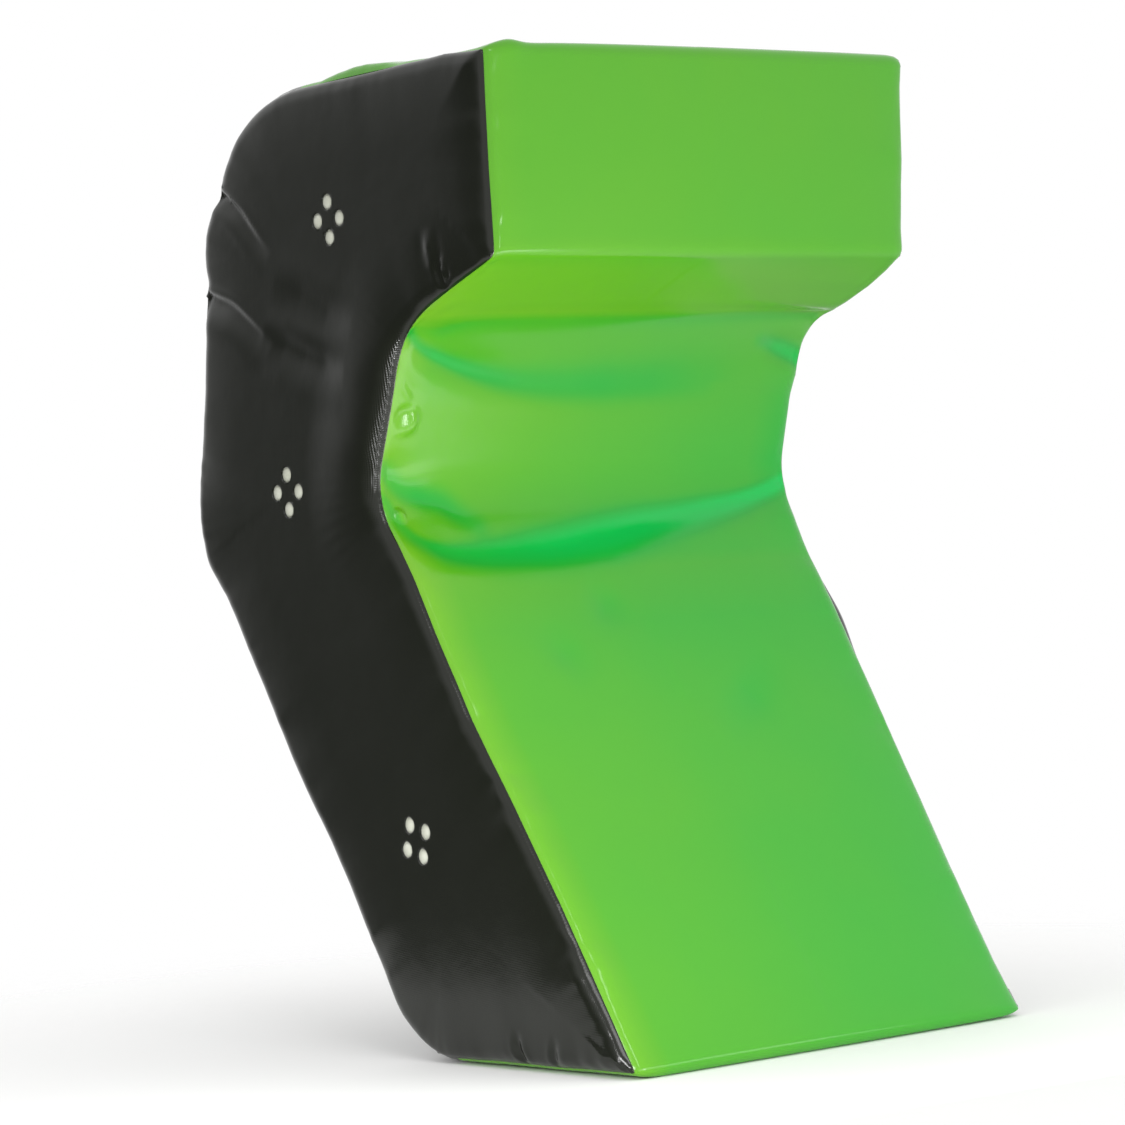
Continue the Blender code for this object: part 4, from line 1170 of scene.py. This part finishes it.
def makeTape(name, side):
    distances = np.linspace(zipSizes["fromHeel"], zipSizes["toTop"], zipSizes["rows"])
    middle = side * (zipSizes["inner"] + zipSizes["width"] / 2)
    spine = [(backPlace(middle, d, zipSizes["lift"]), backAxes(d)[1], d) for d in distances]
    return ribbon(name, spine, zipSizes["width"], zipSizes["columns"], zipSizes["thickness"], tapeMaterial)


def tapeStitches(name, side):
    top = zipSizes["lift"] + zipSizes["thickness"]
    first, last = zipSizes["fromHeel"] + zipSizes["stitchesIn"], zipSizes["toTop"] - zipSizes["stitchesIn"]
    distances = np.linspace(first, last, zipSizes["stitchPoints"])
    lines = []
    for x in zipSizes["stitchRows"]:
        lines.append([(backPlace(side * x, d, top), backAxes(d)[1]) for d in distances])
    return stitches(name, lines, zipSizes["stitchPitch"])


for hand, side in hands:
    tape = makeTape(hand + "ZipTape", side)
    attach(tape, "pad")
    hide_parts(hand + "_zip_tape")
    seam = tapeStitches(hand + "ZipStitches", side)
    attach(seam, "pad")
print("zip tapes made")

# Handles

handle = {
    "offset": 0.110,
    "centre": (backMark("bend", "end") + backMark("topBack", "start")) / 2,
    "strapWidth": 0.030,
    "strapThickness": 0.0022,
    "strapRows": 160,
    "strapColumns": 13,
    "sewnEnd": 0.042,
    "ramp": 0.034,
    "stand": 0.048,
    "gripLength": 0.108,
    "gripWidth": 0.038,
    "gripDepth": 0.018,
    "gripRound": 0.0025,
    "gripFlat": 0.0004,  # half the flat between the rounds of its section
    "gripSteps": 12,  # in a quarter turn of its section
    "sharpFrom": math.radians(50),
    "patchWidth": 0.050,
    "patchLength": 0.056,
    "patchThickness": 0.0010,
    "patchCells": 25,
    "gap": 0.0003,
    "boxIn": (0.0035, 0.0040),  # how far the stitches lie in from the strap's edges and ends
    "patchIn": 0.0035,
    "strapClear": 0.0010,
    "stitchPitch": 0.0032,
    "stitchPoints": 12,
}
handle["half"] = handle["gripLength"] / 2 + handle["ramp"] + handle["sewnEnd"]
handle["strapLift"] = 2 * handle["gap"] + handle["patchThickness"]


def overWall(x, distance, lift):
    # square off the back's straight wall, at the handles' middle
    up, out = backAxes(handle["centre"])
    return backPlace(x, handle["centre"], 0) + up * (distance - handle["centre"]) + out * lift


def strapSpine(x):
    # the strap from its lower end up: sewn down, rising, held off by the grip, and down again
    rows = []
    for distance in np.linspace(-handle["half"], handle["half"], handle["strapRows"]):
        fromEnd = handle["half"] - abs(distance) - handle["sewnEnd"]
        raised = (handle["stand"] - handle["strapLift"]) * float(smoothStep(fromEnd, 0, handle["ramp"]))
        place = overWall if fromEnd > 0 else backPlace
        rows.append(place(x, handle["centre"] + distance, handle["strapLift"] + raised))
    spine = []
    mark = 0.0
    for i, place in enumerate(rows):
        run = rows[min(i + 1, len(rows) - 1)] - rows[max(i - 1, 0)]
        out = sideways.cross(run).normalized()
        out = out if out.y > 0 else -out
        mark += (place - rows[i - 1]).length if i else 0
        spine.append((place, out, mark))
    return spine


def makeStrap(name, side):
    spine = strapSpine(side * handle["offset"])
    width, thickness = handle["strapWidth"], handle["strapThickness"]
    return ribbon(name, spine, width, handle["strapColumns"], thickness, webbingMaterial)


def sewnMiddle(upper):
    # how far up the back the middle of a sewn end and its patch is
    return handle["centre"] + (1 if upper else -1) * (handle["half"] - handle["sewnEnd"] / 2)


def makePatch(name, side, upper):
    half = handle["patchLength"] / 2
    distances = sewnMiddle(upper) + np.linspace(-half, half, handle["patchCells"])
    spine = [(backPlace(side * handle["offset"], d, handle["gap"]), backAxes(d)[1], d) for d in distances]
    width, thickness = handle["patchWidth"], handle["patchThickness"]
    return ribbon(name, spine, width, handle["patchCells"], thickness, patchMaterial)


def boxLines(side, upper):
    # the box and cross that hold a strap's end, and the row round its patch
    def line(start, end, lift):
        points = []
        for share in np.linspace(0, 1, handle["stitchPoints"]):
            across, up = (a + (b - a) * share for a, b in zip(start, end))
            x, distance = side * handle["offset"] + across, sewnMiddle(upper) + up
            points.append((backPlace(x, distance, lift), backAxes(distance)[1]))
        return points

    def box(wide, tall):
        return (-wide, -tall), (wide, -tall), (wide, tall), (-wide, tall)

    across, along = handle["boxIn"]
    around = box(handle["strapWidth"] / 2 - across, handle["sewnEnd"] / 2 - along)
    top = handle["strapLift"] + handle["strapThickness"]
    lines = [line(around[i - 1], around[i], top) for i in range(4)]
    lines += [line(around[0], around[2], top), line(around[1], around[3], top)]
    wide, tall = handle["patchWidth"] / 2 - handle["patchIn"], handle["patchLength"] / 2 - handle["patchIn"]
    around = box(wide, tall)
    under = handle["gap"] + handle["patchThickness"]
    free = handle["strapWidth"] / 2 + handle["strapClear"]
    lines += [line(around[1], around[2], under), line(around[3], around[0], under)]
    for row in (-tall, tall):
        lines += [line((-wide, row), (-free, row), under), line((free, row), (wide, row), under)]
    return lines


def makeGrip(name, side):
    # an oval sleeve with rounded ends, its slot filled by the strap
    deep, wide = handle["gripDepth"] / 2, handle["gripWidth"] / 2
    corner = deep - handle["gripFlat"]
    rim = []
    for quarter, (right, up) in enumerate(((1, 1), (-1, 1), (-1, -1), (1, -1))):
        for step in range(handle["gripSteps"] + 1):
            angle = math.radians(90 * (quarter + step / handle["gripSteps"]))
            across, out = right * (wide - corner), up * (deep - corner)
            rim.append((across + corner * math.cos(angle), out + corner * math.sin(angle)))
    bm = bmesh.new()
    end = bm.faces.new([bm.verts.new((x, y, -handle["gripLength"] / 2)) for x, y in rim])
    grown = bmesh.ops.extrude_face_region(bm, geom=[end])
    lifted = [vert for vert in grown["geom"] if isinstance(vert, bmesh.types.BMVert)]
    bmesh.ops.translate(bm, vec=(0, 0, handle["gripLength"]), verts=lifted)
    bmesh.ops.recalc_face_normals(bm, faces=bm.faces)
    rims = [edge for edge in bm.edges if edge.verts[0].co.z == edge.verts[1].co.z]
    bmesh.ops.bevel(bm, geom=rims, offset=handle["gripRound"], segments=5, profile=0.5, affect="EDGES",
                    material=-1)
    up, out = backAxes(handle["centre"])
    turn = Matrix((sideways, out, up)).transposed().to_4x4()
    lift = handle["stand"] + handle["strapThickness"] / 2
    place = backPlace(side * handle["offset"], handle["centre"], lift)
    bmesh.ops.transform(bm, matrix=Matrix.Translation(place) @ turn, verts=bm.verts)
    bmesh.ops.recalc_face_normals(bm, faces=bm.faces)
    grip = toObject(bm, name, rubberFoam)
    grip.data.set_sharp_from_angle(angle=handle["sharpFrom"])
    return grip


for hand, side in hands:
    made = [
        (makeStrap(hand + "HandleStrap", side), hand + "_handle_strap", "webbing"),
        (makeGrip(hand + "HandleGrip", side), hand + "_handle_grip", "grip_rubber"),
        (makePatch(hand + "UpperPatch", side, True), hand + "_upper_patch", "webbing"),
        (makePatch(hand + "LowerPatch", side, False), hand + "_lower_patch", "webbing"),
    ]
    for piece, node, slotName in made:
        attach(piece, "pad")
        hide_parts(node)
    lines = boxLines(side, True) + boxLines(side, False)
    sewing = stitches(hand + "HandleStitches", lines, handle["stitchPitch"])
    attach(sewing, "pad")
print("handles made")

# The zip's teeth, stops, slider and pull keep the frame's own shapes


def platedZinc():
    # die-cast zinc, tumbled and nickel plated: bright, faintly warm, duller where it is handled
    material, shader = newMaterial("nickel-plated zinc, die cast")
    place = addNode(material, "TexCoord", output="Object")
    wear = addNode(material, "TexNoise", Vector=place, Scale=350.0, Detail=4.0)
    rough = addNode(material, "MapRange", Value=wear, To_Min=0.20, To_Max=0.42)
    bump = addNode(material, "Bump", Height=wear, Strength=0.2, Distance=0.0001)
    setInputs(material, shader, Base_Color=colour("#C6C3BC"), Metallic=1.0, Roughness=rough, Normal=bump)
    return material


def mouldedAcetal():
    # injection-moulded acetal teeth: dense black with a low waxy shine
    material, shader = newMaterial("black acetal, injection moulded")
    place = addNode(material, "TexCoord", output="Object")
    grain = addNode(material, "TexNoise", Vector=place, Scale=1200.0)
    bump = addNode(material, "Bump", Height=grain, Strength=0.15, Distance=0.0001)
    setInputs(material, shader, Base_Color=colour("#161618"), Roughness=0.38, Normal=bump)
    return material


zinc, acetal = platedZinc(), mouldedAcetal()
for node, material in (("left_zip_teeth", acetal), ("right_zip_teeth", acetal), ("upper_zip_stop", zinc),
                       ("lower_zip_stop", zinc), ("zip_slider", zinc), ("zip_pull", zinc)):
    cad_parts[node].material_slots[0].material = material
print("zip finished")

# Floor, light and camera

stageSizes = {"floor": 4.0, "solidTo": 0.40, "goneBy": 1.0}
camera = {
    "place": (-2.292913, -2.705186, 0.415583),
    "right": (0.76412648, -0.64243115, -0.05835390),
    "down": (-0.04833369, 0.03318771, -0.99827976),
    "ahead": (0.64325869, 0.76562776, -0.0056914),
    "lens": 134.4,
    "sensor": 36.0,
    "seesTo": 50,
}
lights = {
    "world": 1.0,
    "dull": (  # towards, and how pale it is at each closeness to that
        ((-0.75, 0.40, -0.53), ((0.45, 1.0), (0.65, 0.62), (0.74, 0.40), (0.79, 0.24), (0.92, 0.18))),
        ((0.56, 0.45, -0.70), ((0.84, 1.0), (0.97, 0.30))),
    ),
    "areas": {  # place, what it is aimed at, its width and height, and its power
        "frontSoftbox": ((-1.5, -2.4, 2.2), (0, 0, 0.45), (0.7, 0.7), 9),
        "frontLamp": ((-0.25, -2.7, 0.25), (-0.1, -0.1, 0.5), (0.30, 0.30), 7),
        "overhead": ((0, 0, 3.2), (0, 0, 0), (4.0, 4.0), 4),
        "floorCard": ((-0.05, -0.62, 0.02), (0, -0.1, 0.62), (1.0, 0.4), 3.0),
        "lowLeftCard": ((-0.69, -0.415, 0.175), (-0.226, -0.03, 0.53), (0.16, 0.18), 1.9),
        "shelfCard": ((-0.08, -0.43, 0.36), (-0.02, -0.20, 0.63), (0.44, 0.08), 0.2),
    },
}


def makeFloor():
    # painted solid under the pad, and gone farther out
    bm = bmesh.new()
    bmesh.ops.create_grid(bm, x_segments=1, y_segments=1, size=stageSizes["floor"] / 2)
    material, shader = newMaterial("matt white studio floor, painted")
    setInputs(material, shader, Base_Color=colour("#FBFBFA"), Roughness=0.8)
    place = addNode(material, "TexCoord", output="Object")
    away = addNode(material, "VectorMath", {"operation": "LENGTH"}, output="Value", i0=place)
    fade = addNode(material, "MapRange", {"interpolation_type": "SMOOTHSTEP"}, Value=away,
                   From_Min=stageSizes["solidTo"], From_Max=stageSizes["goneBy"])
    clear = addNode(material, "BsdfTransparent")
    mixed = addNode(material, "MixShader", i0=fade, i1=shader.outputs["BSDF"], i2=clear)
    setInputs(material, material.node_tree.nodes["Material Output"], Surface=mixed)
    floor = toObject(bm, "studioFloor", material, ofPad=False)


def addAreaLight(name, place, aim, size, power):
    light = bpy.data.lights.new(name, "AREA")
    light.shape = "RECTANGLE"
    light.size, light.size_y = size
    light.energy = power
    holder = bpy.data.objects.new(name, light)
    bpy.context.scene.collection.objects.link(holder)
    holder.visible_camera = False
    holder.location = place
    holder.rotation_euler = (Vector(aim) - Vector(place)).to_track_quat("-Z", "Y").to_euler()


def paleWorld():
    # white all round, duller behind the pad's left, where its black side has its reflections from
    world = bpy.data.worlds.new("pale studio")
    world.use_nodes = True
    place = addNode(world, "TexCoord", output="Generated")
    pale = 1.0
    for direction, levels in lights["dull"]:
        towards = addNode(world, "VectorMath", {"operation": "DOT_PRODUCT"}, output="Value", i0=place,
                          i1=direction)
        for (near, before), (far, after) in zip(levels, levels[1:]):
            ramp = addNode(world, "MapRange", Value=towards, From_Min=near, From_Max=far, To_Min=1.0,
                           To_Max=after / before)
            pale = addNode(world, "Math", {"operation": "MULTIPLY"}, i0=ramp, i1=pale)
    setInputs(world, world.node_tree.nodes["Background"], Color=pale, Strength=lights["world"])
    bpy.context.scene.world = world


def makeStage():
    makeFloor()
    paleWorld()
    for name, light in lights["areas"].items():
        addAreaLight(name, *light)
    lens = bpy.data.cameras.new("photoCamera")
    lens.lens = camera["lens"]
    lens.sensor_width = camera["sensor"]
    lens.clip_end = camera["seesTo"]
    holder = bpy.data.objects.new("photoCamera", lens)
    bpy.context.scene.collection.objects.link(holder)
    turn = Matrix((camera["right"], [-v for v in camera["down"]], [-v for v in camera["ahead"]])).transposed()
    holder.matrix_world = Matrix.Translation(camera["place"]) @ turn.to_4x4()
    bpy.context.scene.camera = holder
    bpy.context.scene.view_settings.view_transform = "Standard"


makeStage()
print("stage made")
